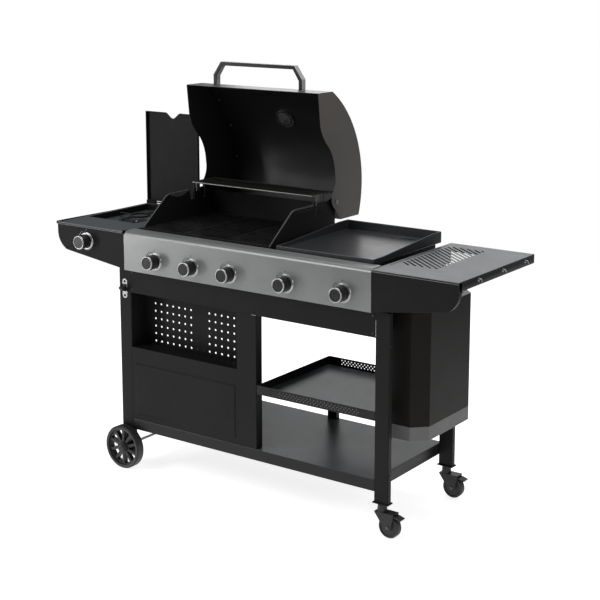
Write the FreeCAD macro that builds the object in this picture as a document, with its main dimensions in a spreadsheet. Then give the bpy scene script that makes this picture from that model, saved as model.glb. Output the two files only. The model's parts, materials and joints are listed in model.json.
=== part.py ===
import FreeCAD, Part
import math
import os
from types import SimpleNamespace
import Sketcher

# Gas barbecue grill on a four-legged cart: a firebox under a hood that tips back, a griddle beside
# it, a side burner with its own lid on the left shelf, two big wheels and two castors.
# Millimetres. +Z is up, the front of the grill faces -Y, and the origin is on the floor under the
# middle of the grill with its hood open.

os.makedirs("parts", exist_ok=True)
doc = FreeCAD.newDocument("gas_grill")
sheet = doc.addObject("Spreadsheet::Sheet", "sizes")

SIZES = (
    # cart; depths are measured back from the front face of the legs
    ("cart_width", 1152), ("cart_depth", 440), ("leg_wide", 53), ("leg_deep", 20),
    ("tube_wall", 1.2), ("sheet_metal", 1.2), ("leg_top", 748), ("castor_leg_low", 113),
    ("plate_thick", 4), ("cross_high", 12),
    ("shelf_level", 187), ("shelf_lip", 40), ("apron_low", 661), ("rail_high", 40),
    ("tray_level", 385), ("tray_lip", 32), ("window_low", 459), ("niche_depth", 82),
    ("cabinet_right", 45), ("strip_wide", 83), ("cabinet_return", 33),
    ("peg_hole", 7.5), ("peg_pitch", 28), ("peg_columns", 15), ("peg_rows", 7),
    # wheels and castors
    ("wheel_radius", 80), ("wheel_wide", 36), ("axle_radius", 5), ("spoke_count", 10),
    ("castor_radius", 37.5), ("castor_wide", 26), ("castor_trail", 30), ("castor_pin", 4),
    ("brake_out", 16), ("brake_pin", 2.5), ("castor_stem", 5), ("castor_gap", 1),
    # control panel, knobs and gas train
    ("panel_width", 1047), ("panel_low", 750), ("panel_top", 892), ("panel_out", 30),
    ("panel_back", 30), ("panel_bend", 18), ("knob_level", 799), ("knob_radius", 25.5),
    ("knob_reach", 42), ("bezel_radius", 34), ("bezel_high", 5), ("stem_radius", 4),
    ("knob_one", -380), ("knob_two", -213), ("knob_three", -47), ("knob_four", 190),
    ("knob_five", 415), ("manifold_radius", 8), ("inlet_radius", 6.6), ("inlet_length", 20),
    ("burner_radius", 10), ("burner_length", 409),
    # firebox, griddle and what is in them
    ("firebox_left", -500), ("firebox_width", 568), ("firebox_front", 40), ("firebox_back", 440),
    ("firebox_low", 712), ("firebox_top", 895), ("firebox_wall", 1.5), ("firebox_crest", 998),
    ("grate_level", 896), ("grate_thick", 12), ("grate_gap", 4),
    ("griddle_left", 103), ("griddle_width", 387), ("griddle_front", 36), ("griddle_back", 469),
    ("griddle_level", 893), ("griddle_thick", 5), ("griddle_lip", 905), ("griddle_high", 927),
    ("rack_front", 315), ("rack_back", 438), ("rack_level", 1026), ("rack_wire", 2),
    # hood, drawn closed and then tipped back a quarter turn about its pivot
    ("hood_left", -512), ("hood_width", 593), ("hood_wall", 1.5), ("hood_front", 35),
    ("hood_low", 879), ("hood_back", 498), ("hood_back_low", 1021), ("hood_arc_y", 375),
    ("hood_arc_z", 762), ("hood_radius", 396.5), ("pivot_y", 430), ("pivot_z", 994),
    ("pivot_radius", 5), ("handle_stand", 88), ("handle_wide", 330), ("handle_foot", 34),
    ("handle_section", 14), ("handle_deep", 25), ("gauge_radius", 38),
    # side shelves
    ("top_level", 890), ("shelf_back", 475), ("shelf_edge", 30),
    ("left_length", 329), ("right_length", 314), ("fascia_thick", 3), ("fascia_inner", 752),
    ("fascia_outer", 790), ("fascia_corner", 44), ("fascia_rise", 66), ("fascia_round", 72),
    ("fascia_deep", 18), ("shelf_flange", 70), ("shelf_nose", 7), ("hook_reach", 15),
    ("hook_wire", 2), ("well_wide", 240), ("well_long", 330), ("well_deep", 24),
    ("trivet_wire", 2.5), ("bowl_radius", 86), ("bowl_deep", 24), ("bowl_sheet", 1),
    ("side_burner_x", -708), ("side_burner_y", 262), ("side_knob_level", 834),
    ("lid_width", 262), ("lid_length", 353), ("lid_deep", 12), ("lid_rod", 3),
    # side bin
    ("bin_left", 530), ("bin_right", 663), ("bin_front", 64), ("bin_back", 414),
    ("bin_low", 316), ("bin_high", 755), ("bin_corner", 45),
    # gaps
    ("running_gap", 0.05), ("loose_gap", 1), ("panel_gap", 0.5),
)


def text_of(value):
    """The sheet expression of a size, or the plain number of a constant."""
    return value.text if isinstance(value, Size) else repr(round(float(value), 6))


class Size(float):
    """A length that also knows the sheet expression it is worked out from."""

    def __new__(cls, number, text):
        made = float.__new__(cls, number)
        made.text = text
        return made

    def __add__(self, other):
        return Size(float(self) + float(other), f"({self.text} + {text_of(other)})")

    def __radd__(self, other):
        return Size(float(other) + float(self), f"({text_of(other)} + {self.text})")

    def __sub__(self, other):
        return Size(float(self) - float(other), f"({self.text} - {text_of(other)})")

    def __rsub__(self, other):
        return Size(float(other) - float(self), f"({text_of(other)} - {self.text})")

    def __mul__(self, other):
        return Size(float(self) * float(other), f"({self.text} * {text_of(other)})")

    __rmul__ = __mul__

    def __truediv__(self, other):
        return Size(float(self) / float(other), f"({self.text} / {text_of(other)})")

    def __neg__(self):
        return Size(-float(self), f"(0 - {self.text})")


def root(value):
    """The square root of a size."""
    return Size(math.sqrt(float(value)), f"sqrt({text_of(value)})")


for row, (alias, number) in enumerate(SIZES, start=1):
    sheet.set(f"A{row}", alias)
    sheet.set(f"B{row}", repr(number))
    sheet.setAlias(f"B{row}", alias)
doc.recompute()
s = SimpleNamespace(**{alias: Size(number, f"sizes.{alias}") for alias, number in SIZES})

V = FreeCAD.Vector
TURN = {
    "x": FreeCAD.Rotation(V(0, 0, 1), V(1, 0, 0)),
    "y": FreeCAD.Rotation(V(0, 0, 1), V(0, 1, 0)),
    "-y": FreeCAD.Rotation(V(0, 0, 1), V(0, -1, 0)),
    "z": FreeCAD.Rotation(),
    "tipped": FreeCAD.Rotation(V(1, 0, 0), -90),
}
nodes = []


# ---------------------------------------------------------------- building helpers

def bind(thing, prop, value):
    thing.setExpression(prop, text_of(value))


def place(thing, at, turn="z"):
    thing.Placement = FreeCAD.Placement(V(*[float(value) for value in at]), TURN[turn])
    for axis, value in zip("xyz", at):
        bind(thing, f"Placement.Base.{axis}", value)
    return thing


def box(x, y, z):
    """A block between two corners, given as three (low, high) spans."""
    thing = doc.addObject("Part::Box", "block")
    for prop, span in (("Length", x), ("Width", y), ("Height", z)):
        bind(thing, prop, span[1] - span[0])
    return place(thing, (x[0], y[0], z[0]))


def rod(turn, radius, at, length):
    """A cylinder that starts at a point and runs along x, y or z."""
    thing = doc.addObject("Part::Cylinder", "rod")
    bind(thing, "Radius", radius)
    bind(thing, "Height", length)
    return place(thing, at, turn)


def fuse(*things):
    thing = doc.addObject("Part::MultiFuse", "joined")
    thing.Shapes = list(things)
    return thing


def group(*things):
    """Several separate solids that are one node, such as identical screws."""
    thing = doc.addObject("Part::Compound", "set")
    thing.Links = list(things)
    return thing


def cut(base, *tools):
    thing = doc.addObject("Part::Cut", "cutting")
    thing.Base = base
    thing.Tool = tools[0] if len(tools) == 1 else group(*tools)
    return thing


def node(name, thing):
    thing.Label = name
    nodes.append(thing)
    return thing


def origin_plane(body, role):
    return next(part for part in body.Origin.OriginFeatures if part.Role == role)


def arc_through(start, end, radius, side):
    """The short arc from start to end; side is +1 to bulge left of the way, -1 to bulge right."""
    chord = end - start
    middle = (start + end) * 0.5
    reach = math.sqrt(radius ** 2 - chord.Length ** 2 / 4)
    normal = V(-chord.y, chord.x, 0).normalize()
    centre = middle - normal * side * reach
    top = centre + normal * side * radius
    return Part.Arc(start, top, end).toShape().Curve, centre


def draw(sketch, points, arcs=None):
    """A closed outline through points; arcs maps a side's index to (radius, side of bulge)."""
    arcs = arcs or {}
    ends = []
    for index, point in enumerate(points):
        after = points[(index + 1) % len(points)]
        start = V(float(point[0]), float(point[1]), 0)
        end = V(float(after[0]), float(after[1]), 0)
        if index in arcs:
            radius, side = arcs[index]
            centre = arc_through(start, end, float(radius), side)[1]
            first, last = (end, start) if side > 0 else (start, end)
            angles = [math.atan2(p.y - centre.y, p.x - centre.x) for p in (first, last)]
            circle = Part.Circle(centre, V(0, 0, 1), float(radius))
            geo = sketch.addGeometry(Part.ArcOfCircle(circle, angles[0], angles[1]), False)
            spin = sketch.addConstraint(Sketcher.Constraint("Radius", geo, float(radius)))
            bind(sketch, f"Constraints[{spin}]", radius)
            ends.append((geo, 2, 1) if side > 0 else (geo, 1, 2))
        else:
            geo = sketch.addGeometry(Part.LineSegment(start, end), False)
            ends.append((geo, 1, 2))
    for index, (geo, begin, finish) in enumerate(ends):
        after = ends[(index + 1) % len(ends)]
        sketch.addConstraint(Sketcher.Constraint("Coincident", geo, finish, after[0], after[1]))
        for kind, value in zip(("DistanceX", "DistanceY"), points[index]):
            tie = sketch.addConstraint(Sketcher.Constraint(kind, -1, 1, geo, begin, float(value)))
            bind(sketch, f"Constraints[{tie}]", value)


def new_sketch(body, role):
    sketch = body.newObject("Sketcher::SketchObject", "outline")
    sketch.AttachmentSupport = [(origin_plane(body, role), "")]
    sketch.MapMode = "FlatFace"
    return sketch


def prism(plane, points, span, arcs=None, at=None, turn="z"):
    """An outline on XY, XZ or YZ, padded over a (low, high) span along the third axis."""
    body = doc.addObject("PartDesign::Body", "body")
    sketch = new_sketch(body, plane + "_Plane")
    draw(sketch, points, arcs)
    pad = body.newObject("PartDesign::Pad", "pad")
    pad.Profile = sketch
    pad.Reversed = plane == "XZ"
    bind(pad, "Length", span[1] - span[0])
    if at is None:
        axis = {"XY": 2, "XZ": 1, "YZ": 0}[plane]
        at = [span[0] if index == axis else 0 for index in range(3)]
    return place(body, at, turn)


def turned(points, at, turn):
    """A (radius, height) outline revolved about its own axis, which then points along turn."""
    body = doc.addObject("PartDesign::Body", "body")
    sketch = new_sketch(body, "XZ_Plane")
    draw(sketch, points)
    spin = body.newObject("PartDesign::Revolution", "spin")
    spin.Profile = sketch
    spin.ReferenceAxis = (sketch, ["V_Axis"])
    spin.Angle = 360
    return place(body, at, turn)


def bent_wire(points, radius, bend):
    """A round wire along straight runs with a rounded bend at each inner point."""
    spots = [V(*[float(value) for value in point]) for point in points]
    edges = []
    last = spots[0]
    for before, here, after in zip(spots, spots[1:], spots[2:]):
        back = (before - here).normalize()
        ahead = (after - here).normalize()
        half = back.getAngle(ahead) / 2
        reach = float(bend) / math.tan(half)
        inner = here + (back + ahead).normalize() * (float(bend) / math.sin(half) - float(bend))
        edges.append(Part.LineSegment(last, here + back * reach).toShape())
        edges.append(Part.Arc(here + back * reach, inner, here + ahead * reach).toShape())
        last = here + ahead * reach
    edges.append(Part.LineSegment(last, spots[-1]).toShape())
    start = (edges[0].Vertexes[-1].Point - spots[0]).normalize()
    ring = Part.Wire([Part.Circle(spots[0], start, float(radius)).toShape()])
    feature = doc.addObject("Part::Feature", "wire")
    feature.Shape = Part.Wire(edges).makePipeShell([ring], True, False)
    return feature


def tube(x, y, z, along):
    """A hollow rectangular tube, open at both ends of the axis it runs along."""
    outer = box(x, y, z)
    wall = s.tube_wall
    spans = [(span[0], span[1]) if axis == along else (span[0] + wall, span[1] - wall)
             for axis, span in zip("xyz", (x, y, z))]
    return cut(outer, box(*spans))


# ---------------------------------------------------------------- places worked out from the sizes

knob_front = s.panel_out + s.knob_reach
hood_crown = s.hood_arc_z + s.hood_radius
hood_rear_open = s.pivot_y + hood_crown - s.pivot_z
front = (knob_front - hood_rear_open) / 2

rear_leg = s.cart_depth - s.leg_deep
left_out = -s.cart_width / 2
left_in = left_out + s.leg_wide
right_out = s.cart_width / 2
right_in = right_out - s.leg_wide
left_leg_mid = left_out + s.leg_wide / 2
right_leg_mid = right_out - s.leg_wide / 2
panel_left = -s.panel_width / 2
panel_right = s.panel_width / 2
niche_right = s.cabinet_right - s.strip_wide
firebox_right = s.firebox_left + s.firebox_width
griddle_right = s.griddle_left + s.griddle_width
hood_right = s.hood_left + s.hood_width
hood_middle = s.hood_left + s.hood_width / 2
shelf_left = panel_left - s.left_length
shelf_right = panel_right + s.right_length
KNOBS = (s.knob_one, s.knob_two, s.knob_three, s.knob_four, s.knob_five)


def back(value):
    """A depth behind the front face of the legs, as a Y in the grill's own frame."""
    return front + value


# ---------------------------------------------------------------- cart

def castor_y(end):
    return back(s.leg_deep / 2) if end == "front" else back(s.cart_depth - s.leg_deep / 2)


def leg_end_plate(end):
    """The flared plate welded under a right leg, with the hole that the castor's stem turns in."""
    middle = castor_y(end)
    half_wide = s.leg_wide / 2 + 4
    half_deep = s.leg_deep / 2 + 6
    low = s.castor_leg_low - s.plate_thick
    plate = box((right_leg_mid - half_wide, right_leg_mid + half_wide),
                (middle - half_deep, middle + half_deep), (low, s.castor_leg_low))
    hole = rod("z", s.castor_stem + s.running_gap, (right_leg_mid, middle, low - 1), s.plate_thick + 2)
    return cut(plate, hole)


def make_legs():
    """Two left legs carry the wheels' axle; two shorter right legs stand on castors."""
    low_left = s.wheel_radius - 4 * s.axle_radius
    for end, y in (("front", (0, s.leg_deep)), ("rear", (rear_leg, s.cart_depth))):
        span = (back(y[0]), back(y[1]))
        left = tube((left_out, left_in), span, (low_left, s.leg_top), "z")
        start = (left_leg_mid, back(y[0] - 1), s.wheel_radius)
        node(f"leg_{end}_left", cut(left, rod("y", s.axle_radius, start, s.leg_deep + 2)))
        right = tube((right_in, right_out), span, (s.castor_leg_low, s.leg_top), "z")
        node(f"leg_{end}_right", fuse(right, leg_end_plate(end)))


def make_top_frame():
    """What ties the legs together and carries the firebox and shelves: two side rails, a front
    and a rear cross rail under the boxes, and an end plate at each side of the cooking area."""
    deep = (back(s.leg_deep), back(rear_leg))
    side_level = (s.firebox_low - s.rail_high, s.firebox_low)
    cross_level = (s.firebox_low - s.cross_high, s.firebox_low)
    left = tube((left_in - s.leg_deep, left_in), deep, side_level, "y")
    right = tube((right_in, right_in + 7), deep, side_level, "y")
    front_rail = tube((left_in, right_in), (back(60), back(60 + s.leg_deep)), cross_level, "x")
    rear_rail = tube((left_in, right_in), (back(rear_leg), back(s.cart_depth)), cross_level, "x")
    plates = []
    for x0 in (left_in, right_in - s.firebox_wall):
        plates.append(box((x0, x0 + s.firebox_wall), (back(s.leg_deep), back(s.cart_depth)),
                          (s.firebox_low, s.top_level - s.plate_thick)))
    node("top_frame", group(left, right, front_rail, rear_rail, *plates))


def make_front_apron():
    high = s.panel_low
    thick = s.sheet_metal
    face = box((left_in, right_in), (back(0), back(thick)), (s.apron_low, high))
    foot = box((left_in, right_in), (back(0), back(14)), (s.apron_low, s.apron_low + thick))
    head = box((left_in, right_in), (back(0), back(14)), (high - thick, high))
    node("front_apron", fuse(face, foot, head))


def make_bottom_shelf():
    thick = s.sheet_metal
    low = s.shelf_level - s.shelf_lip
    outer = box((left_in, right_in), (back(0), back(s.cart_depth)), (low, s.shelf_level))
    hollow = box((left_in + thick, right_in - thick), (back(thick), back(s.cart_depth - thick)),
                 (low - 1, s.shelf_level - thick))
    node("bottom_shelf", cut(outer, hollow))


def make_middle_tray():
    """A tray with upright lips; those in front and behind are pierced with a diamond grid of holes."""
    thick = s.sheet_metal
    x = (s.cabinet_right + s.loose_gap, right_in)
    floor = box(x, (back(0), back(s.cart_depth)), (s.tray_level, s.tray_level + thick))
    lips = []
    high = (s.tray_level, s.tray_level + s.tray_lip)
    for y in (0, s.cart_depth - thick):
        lips.append(box(x, (back(y), back(y + thick)), high))
    for x0 in (x[0], x[1] - thick):
        lips.append(box((x0, x0 + thick), (back(0), back(s.cart_depth)), high))
    tray = fuse(floor, *lips)
    hole_pitch = 14
    plain = 4
    columns = int(float(x[1] - x[0]) / hole_pitch)
    drills = []
    for column in range(plain, columns - plain):
        for level, offset in ((9, 0), (16, hole_pitch / 2), (23, 0)):
            start = (x[0] + hole_pitch * column + offset, back(-1), s.tray_level + level)
            drills.append(rod("y", 2, start, s.cart_depth + 2))
    node("middle_tray", cut(tray, *drills))


def make_rear_mid_post():
    x = (s.cabinet_right + 8, s.cabinet_right + 47)
    y = (back(s.cart_depth - s.leg_deep), back(s.cart_depth - s.sheet_metal))
    node("rear_mid_post", tube(x, y, (s.shelf_level, s.tray_level), "z"))


def make_cabinet_front():
    """The lower front panel with its embossed field, the strip beside the niche and its return."""
    thick = s.sheet_metal
    low = s.shelf_level
    outline = [(left_in, low), (s.cabinet_right, low), (s.cabinet_right, s.apron_low),
               (niche_right, s.apron_low), (niche_right, s.window_low), (left_in, s.window_low)]
    face = prism("XZ", outline, (back(0), back(thick)))
    edge = box((s.cabinet_right - thick, s.cabinet_right), (back(0), back(s.cabinet_return)),
               (low, s.apron_low))
    inset = 18
    field = box((left_in + inset, niche_right - 8), (back(-3), back(0)),
                (low + 22, s.window_low - 60))
    field = chamfered(field, 2.4, lambda edge_box: edge_box.YMax < float(back(-2.9)))
    node("cabinet_front", fuse(face, edge, field))


def chamfered(thing, size, wanted):
    """A Part::Chamfer of the edges whose bounding box passes the test."""
    doc.recompute()
    edges = [index for index, edge in enumerate(thing.Shape.Edges, start=1) if wanted(edge.BoundBox)]
    soft = doc.addObject("Part::Chamfer", "soft")
    soft.Base = thing
    soft.Edges = [(index, size, size) for index in edges]
    return soft


def make_niche():
    """The liner of the open niche: floor, two cheeks, and the perforated board at its back."""
    thick = s.sheet_metal
    y = (back(thick), back(s.niche_depth - thick))
    floor = box((left_in, niche_right), y, (s.window_low - thick, s.window_low))
    left = box((left_in, left_in + thick), y, (s.window_low, s.apron_low))
    right = box((niche_right - thick, niche_right), y, (s.window_low, s.apron_low))
    node("niche_liner", fuse(floor, left, right))

    body = doc.addObject("PartDesign::Body", "body")
    sketch = new_sketch(body, "XZ_Plane")
    x0, x1, z0, z1 = left_in, niche_right, s.window_low - 12, s.apron_low + 12
    draw(sketch, [(x0, z0), (x1, z0), (x1, z1), (x0, z1)])
    board = body.newObject("PartDesign::Pad", "board")
    board.Profile = sketch
    board.Reversed = True
    bind(board, "Length", thick)
    doc.recompute()
    drill = new_sketch(body, "XZ_Plane")
    first = x0 + (x1 - x0 - s.peg_pitch * (s.peg_columns - 1)) / 2
    for level in range(int(s.peg_rows)):
        z = s.window_low + 12 + s.peg_pitch * level
        circle = Part.Circle(V(float(first), float(z), 0), V(0, 0, 1), float(s.peg_hole) / 2)
        geo = drill.addGeometry(circle, False)
        size = drill.addConstraint(Sketcher.Constraint("Radius", geo, float(s.peg_hole) / 2))
        across = drill.addConstraint(Sketcher.Constraint("DistanceX", -1, 1, geo, 3, float(first)))
        up = drill.addConstraint(Sketcher.Constraint("DistanceY", -1, 1, geo, 3, float(z)))
        for tie, value in ((size, s.peg_hole / 2), (across, first), (up, z)):
            bind(drill, f"Constraints[{tie}]", value)
    column = body.newObject("PartDesign::Pocket", "column")
    column.Profile = drill
    column.Type = "ThroughAll"
    column.Midplane = True
    doc.recompute()
    pattern = body.newObject("PartDesign::LinearPattern", "columns")
    pattern.Originals = [column]
    pattern.Direction = (drill, ["H_Axis"])
    bind(pattern, "Length", s.peg_pitch * (s.peg_columns - 1))
    pattern.Occurrences = int(s.peg_columns)
    body.Tip = pattern
    node("pegboard", place(body, (0, back(s.niche_depth - thick), 0)))


def make_side_bin():
    """An open-topped bin with two bevelled outer corners, hung between the right legs."""
    def outline(inset):
        x0, x1 = s.bin_left + inset, s.bin_right - inset
        y0, y1 = back(s.bin_front + inset), back(s.bin_back - inset)
        bevel = s.bin_corner - inset * 0.586
        return [(x0, y0), (x1 - bevel, y0), (x1, y0 + bevel), (x1, y1 - bevel),
                (x1 - bevel, y1), (x0, y1)]
    wall = s.sheet_metal
    shell = prism("XY", outline(0), (s.bin_low, s.bin_high))
    inside = prism("XY", outline(wall), (s.bin_low + wall, s.bin_high + 1))
    node("side_bin", cut(shell, inside))


# ---------------------------------------------------------------- wheels and castors

def make_axle():
    reach = s.wheel_wide + 7
    start = (left_leg_mid, back(-reach), s.wheel_radius)
    node("axle", rod("y", s.axle_radius, start, s.cart_depth + 2 * reach))


def make_wheel(name, inner_y, outward):
    """A moulded wheel: hub, ten spokes and a tread whose edges are scalloped. Its axis runs along
    Y, from the inner face outward."""
    radius, wide = s.wheel_radius, s.wheel_wide
    bore = s.axle_radius + s.running_gap
    hub, rim, web = 20, 13, 9
    outline = [(bore, 0), (hub, 0), (hub, wide / 2 - web), (radius - rim, wide / 2 - web),
               (radius - rim, 2), (radius - 5, 0), (radius, 5), (radius, wide - 5),
               (radius - 5, wide), (radius - rim, wide - 2), (radius - rim, wide / 2 + web),
               (hub, wide / 2 + web), (hub, wide), (bore, wide)]
    turn = "y" if outward > 0 else "-y"
    body = turned(outline, (left_leg_mid, inner_y, s.wheel_radius), turn)
    window = new_sketch(body, "XY_Plane")
    half = math.pi / float(s.spoke_count)
    near, far = float(hub) + 5, float(radius) - rim - 4
    spread = [(near, half * 0.40), (far, half * 0.74)]
    corners = [(math.cos(sign * angle) * reach, math.sin(sign * angle) * reach)
               for (reach, angle), sign in ((spread[0], -1), (spread[1], -1), (spread[1], 1), (spread[0], 1))]
    draw(window, corners)
    opening = body.newObject("PartDesign::Pocket", "opening")
    opening.Profile = window
    opening.Type = "ThroughAll"
    opening.Midplane = True
    doc.recompute()
    ring = body.newObject("PartDesign::PolarPattern", "spokes")
    ring.Originals = [opening]
    ring.Axis = (window, ["N_Axis"])
    ring.Angle = 360
    ring.Occurrences = int(s.spoke_count)
    body.Tip = ring
    notches = []
    notch_count = 36
    for index in range(notch_count):
        angle = 2 * math.pi * index / notch_count
        for depth in (-1, wide - 5):
            y = inner_y + outward * depth if outward > 0 else inner_y - depth - 6
            start = (left_leg_mid + math.cos(angle) * (radius + 1), y,
                     s.wheel_radius + math.sin(angle) * (radius + 1))
            notches.append(rod("y", 4, start, 6))
    node(name, cut(body, *notches))


def make_wheel_caps():
    caps = []
    reach = s.wheel_wide + 3 + s.panel_gap
    dome = [(0, 0), (15, 0), (15, 3), (12, 6), (6, 7.5), (0, 8)]
    hollow = [(0, 0), (s.axle_radius, 0), (s.axle_radius, 4), (0, 4)]
    for y, turn in ((back(-reach), "-y"), (back(s.cart_depth + reach), "y")):
        at = (left_leg_mid, y, s.wheel_radius)
        caps.append(cut(turned(dome, at, turn), turned(hollow, at, turn)))
    node("wheel_caps", group(*caps))


def make_castor(end):
    y = castor_y(end)
    x = right_leg_mid
    axle_x = x + s.castor_trail
    inner = s.castor_wide / 2 + 2
    plate = 2.5
    crown_low = 2 * s.castor_radius + 7
    crown = crown_low + 3
    pivot_x, pivot_z = axle_x + s.brake_out, crown_low - 6
    tail = pivot_x + 6
    top = box((x - 20, tail), (y - inner - plate, y + inner + plate), (crown_low, crown))
    cheeks = []
    outline = [(axle_x - 11, s.castor_radius - 8), (axle_x + 11, s.castor_radius - 8),
               (tail, crown_low), (x - 20, crown_low)]
    for y0 in (y - inner - plate, y + inner):
        cheek = prism("XZ", outline, (y0, y0 + plate))
        hole = rod("y", s.castor_pin, (axle_x, y0 - 1, s.castor_radius), plate + 2)
        pivot = rod("y", s.brake_pin, (pivot_x, y0 - 1, pivot_z), plate + 2)
        cheeks.append(cut(cheek, hole, pivot))
    swivel_top = s.castor_leg_low - s.plate_thick - s.castor_gap
    cup = turned([(0, 0), (17, 0), (15, swivel_top - crown), (0, swivel_top - crown)], (x, y, crown), "z")
    stem = rod("z", s.castor_stem, (x, y, crown), 60)
    pin_long = 2 * (inner + plate + 2)
    pin = rod("y", s.castor_pin, (axle_x, y - pin_long / 2, s.castor_radius), pin_long)
    node(f"castor_{end}_fork", group(fuse(top, cup, stem, *cheeks), pin))

    radius, wide = s.castor_radius, s.castor_wide
    bore = s.castor_pin + s.running_gap
    tread = [(bore, 0), (11, 0), (13, 3), (radius - 9, 3), (radius - 7, 0), (radius - 3, 0),
             (radius, 4), (radius, wide - 4), (radius - 3, wide), (radius - 7, wide),
             (radius - 9, wide - 3), (13, wide - 3), (11, wide), (bore, wide)]
    node(f"castor_{end}_wheel", turned(tread, (axle_x, y - wide / 2, s.castor_radius), "y"))

    outline = [(pivot_x - 1, pivot_z - 2), (pivot_x + 12, pivot_z - 3), (pivot_x + 30, pivot_z - 8),
               (pivot_x + 32, pivot_z - 4), (pivot_x + 12, pivot_z + 2), (pivot_x - 1, pivot_z + 2)]
    pad = prism("XZ", outline, (y - inner + 1, y + inner - 1))
    rod_long = 2 * (inner + plate) + 1
    rocker = rod("y", s.brake_pin - s.running_gap, (pivot_x, y - rod_long / 2, pivot_z), rod_long)
    node(f"castor_{end}_brake", fuse(pad, rocker))


# ---------------------------------------------------------------- control panel and gas train

def make_control_panel():
    """A folded panel: front face, a rounded bend to the top, and a short return below."""
    thick = s.sheet_metal
    bend = s.panel_bend
    y0, y1 = back(-s.panel_out), back(s.panel_back)
    z0, z1 = s.panel_low, s.panel_top
    outline = [(y0, z0), (y0, z1 - bend), (y0 + bend, z1), (y1, z1), (y1, z1 - thick),
               (y0 + bend, z1 - thick), (y0 + thick, z1 - bend), (y0 + thick, z0 + thick),
               (back(-2), z0 + thick), (back(-2), z0)]
    panel = prism("YZ", outline, (panel_left, panel_right), {1: (bend, 1), 5: (bend - thick, -1)})
    holes = [rod("y", s.stem_radius + s.loose_gap, (x, y0 - 1, s.knob_level), thick + 2) for x in KNOBS]
    node("control_panel", cut(panel, *holes))


def make_bezels():
    """Raised round bezels on the panel, one behind each knob, pressed from sheet."""
    rings = []
    high = s.bezel_high
    outer = s.bezel_radius
    bore = s.stem_radius + s.loose_gap
    outline = [(bore, 0), (outer, 0), (outer - 1, 2), (outer - 5, high), (outer - 8, high),
               (outer - 9, high - 1.5), (bore, high - 1.5)]
    for x in KNOBS:
        rings.append(turned(outline, (x, back(-s.panel_out), s.knob_level), "-y"))
    rings.append(turned(outline, (s.side_burner_x, back(-s.panel_out), s.side_knob_level), "-y"))
    node("knob_bezels", group(*rings))


def make_knob(name, x, z):
    """A slightly tapered knob with a domed rim, and the valve stem that it turns."""
    reach = s.knob_reach
    radius = s.knob_radius
    stem = s.stem_radius
    skirt = s.bezel_high + 1
    outline = [(0, -26), (stem, -26), (stem, skirt), (radius - 2, skirt), (radius, skirt + 1.5),
               (radius - 1.5, reach - 5), (radius - 4, reach - 1), (radius - 6, reach),
               (radius - 7, reach - 1.5), (0, reach - 1.5)]
    node(name, turned(outline, (x, back(-s.panel_out), z), "-y"))


def make_gas_train():
    """Manifold pipe behind the panel with a valve body for each knob and an inlet fitting."""
    y = back(15)
    radius = s.manifold_radius
    pipe_left = s.side_burner_x
    inlet_x = griddle_right + 13
    pipe = rod("x", radius, (s.knob_one - 30, y, s.knob_level), inlet_x + radius - s.knob_one + 30)
    inlet = rod("y", s.inlet_radius, (inlet_x, y, s.knob_level), 40 + s.inlet_length)
    collar = rod("y", s.inlet_radius + 2.4, (inlet_x, y + 30, s.knob_level), 10)
    bodies = [pipe, inlet, collar]
    drills = []
    socket = s.stem_radius + s.running_gap
    for x in KNOBS:
        bodies.append(box((x - 12, x + 12), (back(-22), back(15)), (s.knob_level - 12, s.knob_level + 12)))
        drills.append(rod("y", socket, (x, back(-23), s.knob_level), 20))
    train = cut(fuse(*bodies), *drills)
    low, high = s.side_knob_level - 12, s.side_knob_level + 12
    valve = box((pipe_left - 12, pipe_left + 12), (back(-22), back(12)), (low, high))
    bore = rod("y", socket, (pipe_left, back(-23), s.side_knob_level), 20)
    node("gas_manifold", group(train, cut(valve, bore)))


def make_burners():
    tubes = []
    radius = s.burner_radius
    for x in KNOBS:
        start = (x, back(s.firebox_front - 11), s.knob_level)
        outer = rod("y", radius, start, s.burner_length)
        inner = rod("y", radius - 1.2, (x, back(s.firebox_front - 12), s.knob_level), s.burner_length - 5)
        tubes.append(cut(outer, inner))
    node("burner_tubes", group(*tubes))


# ---------------------------------------------------------------- firebox and griddle

def make_firebox():
    wall = s.firebox_wall
    x = (s.firebox_left, firebox_right)
    x_in = (x[0] + wall, x[1] - wall)
    y = (back(s.firebox_front), back(s.firebox_back))
    z = (s.firebox_low, s.firebox_top)
    face = box(x_in, (y[0], y[0] + wall), z)
    rear = box(x_in, (y[1] - wall, y[1]), (z[0], s.pivot_z - 12))
    floor = box(x_in, y, (z[0], z[0] + wall))
    ports = [rod("y", s.burner_radius + s.loose_gap, (knob, y[0] - 1, s.knob_level), wall + 2)
             for knob in KNOBS[:3]]
    drip = box((x[0] + 244, x[0] + 324), (y[0] + 160, y[0] + 240), (z[0] - 1, z[0] + wall + 1))
    ledges = []
    ledge_level = (s.grate_level - s.grate_thick - wall, s.grate_level - s.grate_thick)
    for span in ((y[0] + wall, y[0] + 14), (y[1] - 14, y[1] - wall)):
        ledges.append(box(x_in, span, ledge_level))
    tub = fuse(face, rear, floor, *ledges, *grease_runners())
    node("firebox_tub", cut(tub, drip, *ports))
    corner = 8
    crest = s.firebox_crest
    outline = [(y[0], z[0]), (y[1], z[0]), (y[1], s.pivot_z - 40), (back(s.pivot_y + 14), s.pivot_z + 14),
               (back(s.pivot_y - 14), s.pivot_z + 14), (back(s.pivot_y - 36), s.pivot_z - 34),
               (back(s.rack_front + 1), s.pivot_z - 34), (back(s.rack_front - 7), crest),
               (back(190), crest), (back(178), crest - 5),
               (y[0] + corner + 2, z[1]), (y[0], z[1] - corner)]
    for name, x0 in (("firebox_side_left", x[0]), ("firebox_side_right", x[1] - wall)):
        plate = prism("YZ", outline, (x0, x0 + wall), {7: (110, 1)})
        pivot = rod("x", s.pivot_radius, (x0 - 1, back(s.pivot_y), s.pivot_z), wall + 2)
        node(name, cut(plate, pivot))


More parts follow.
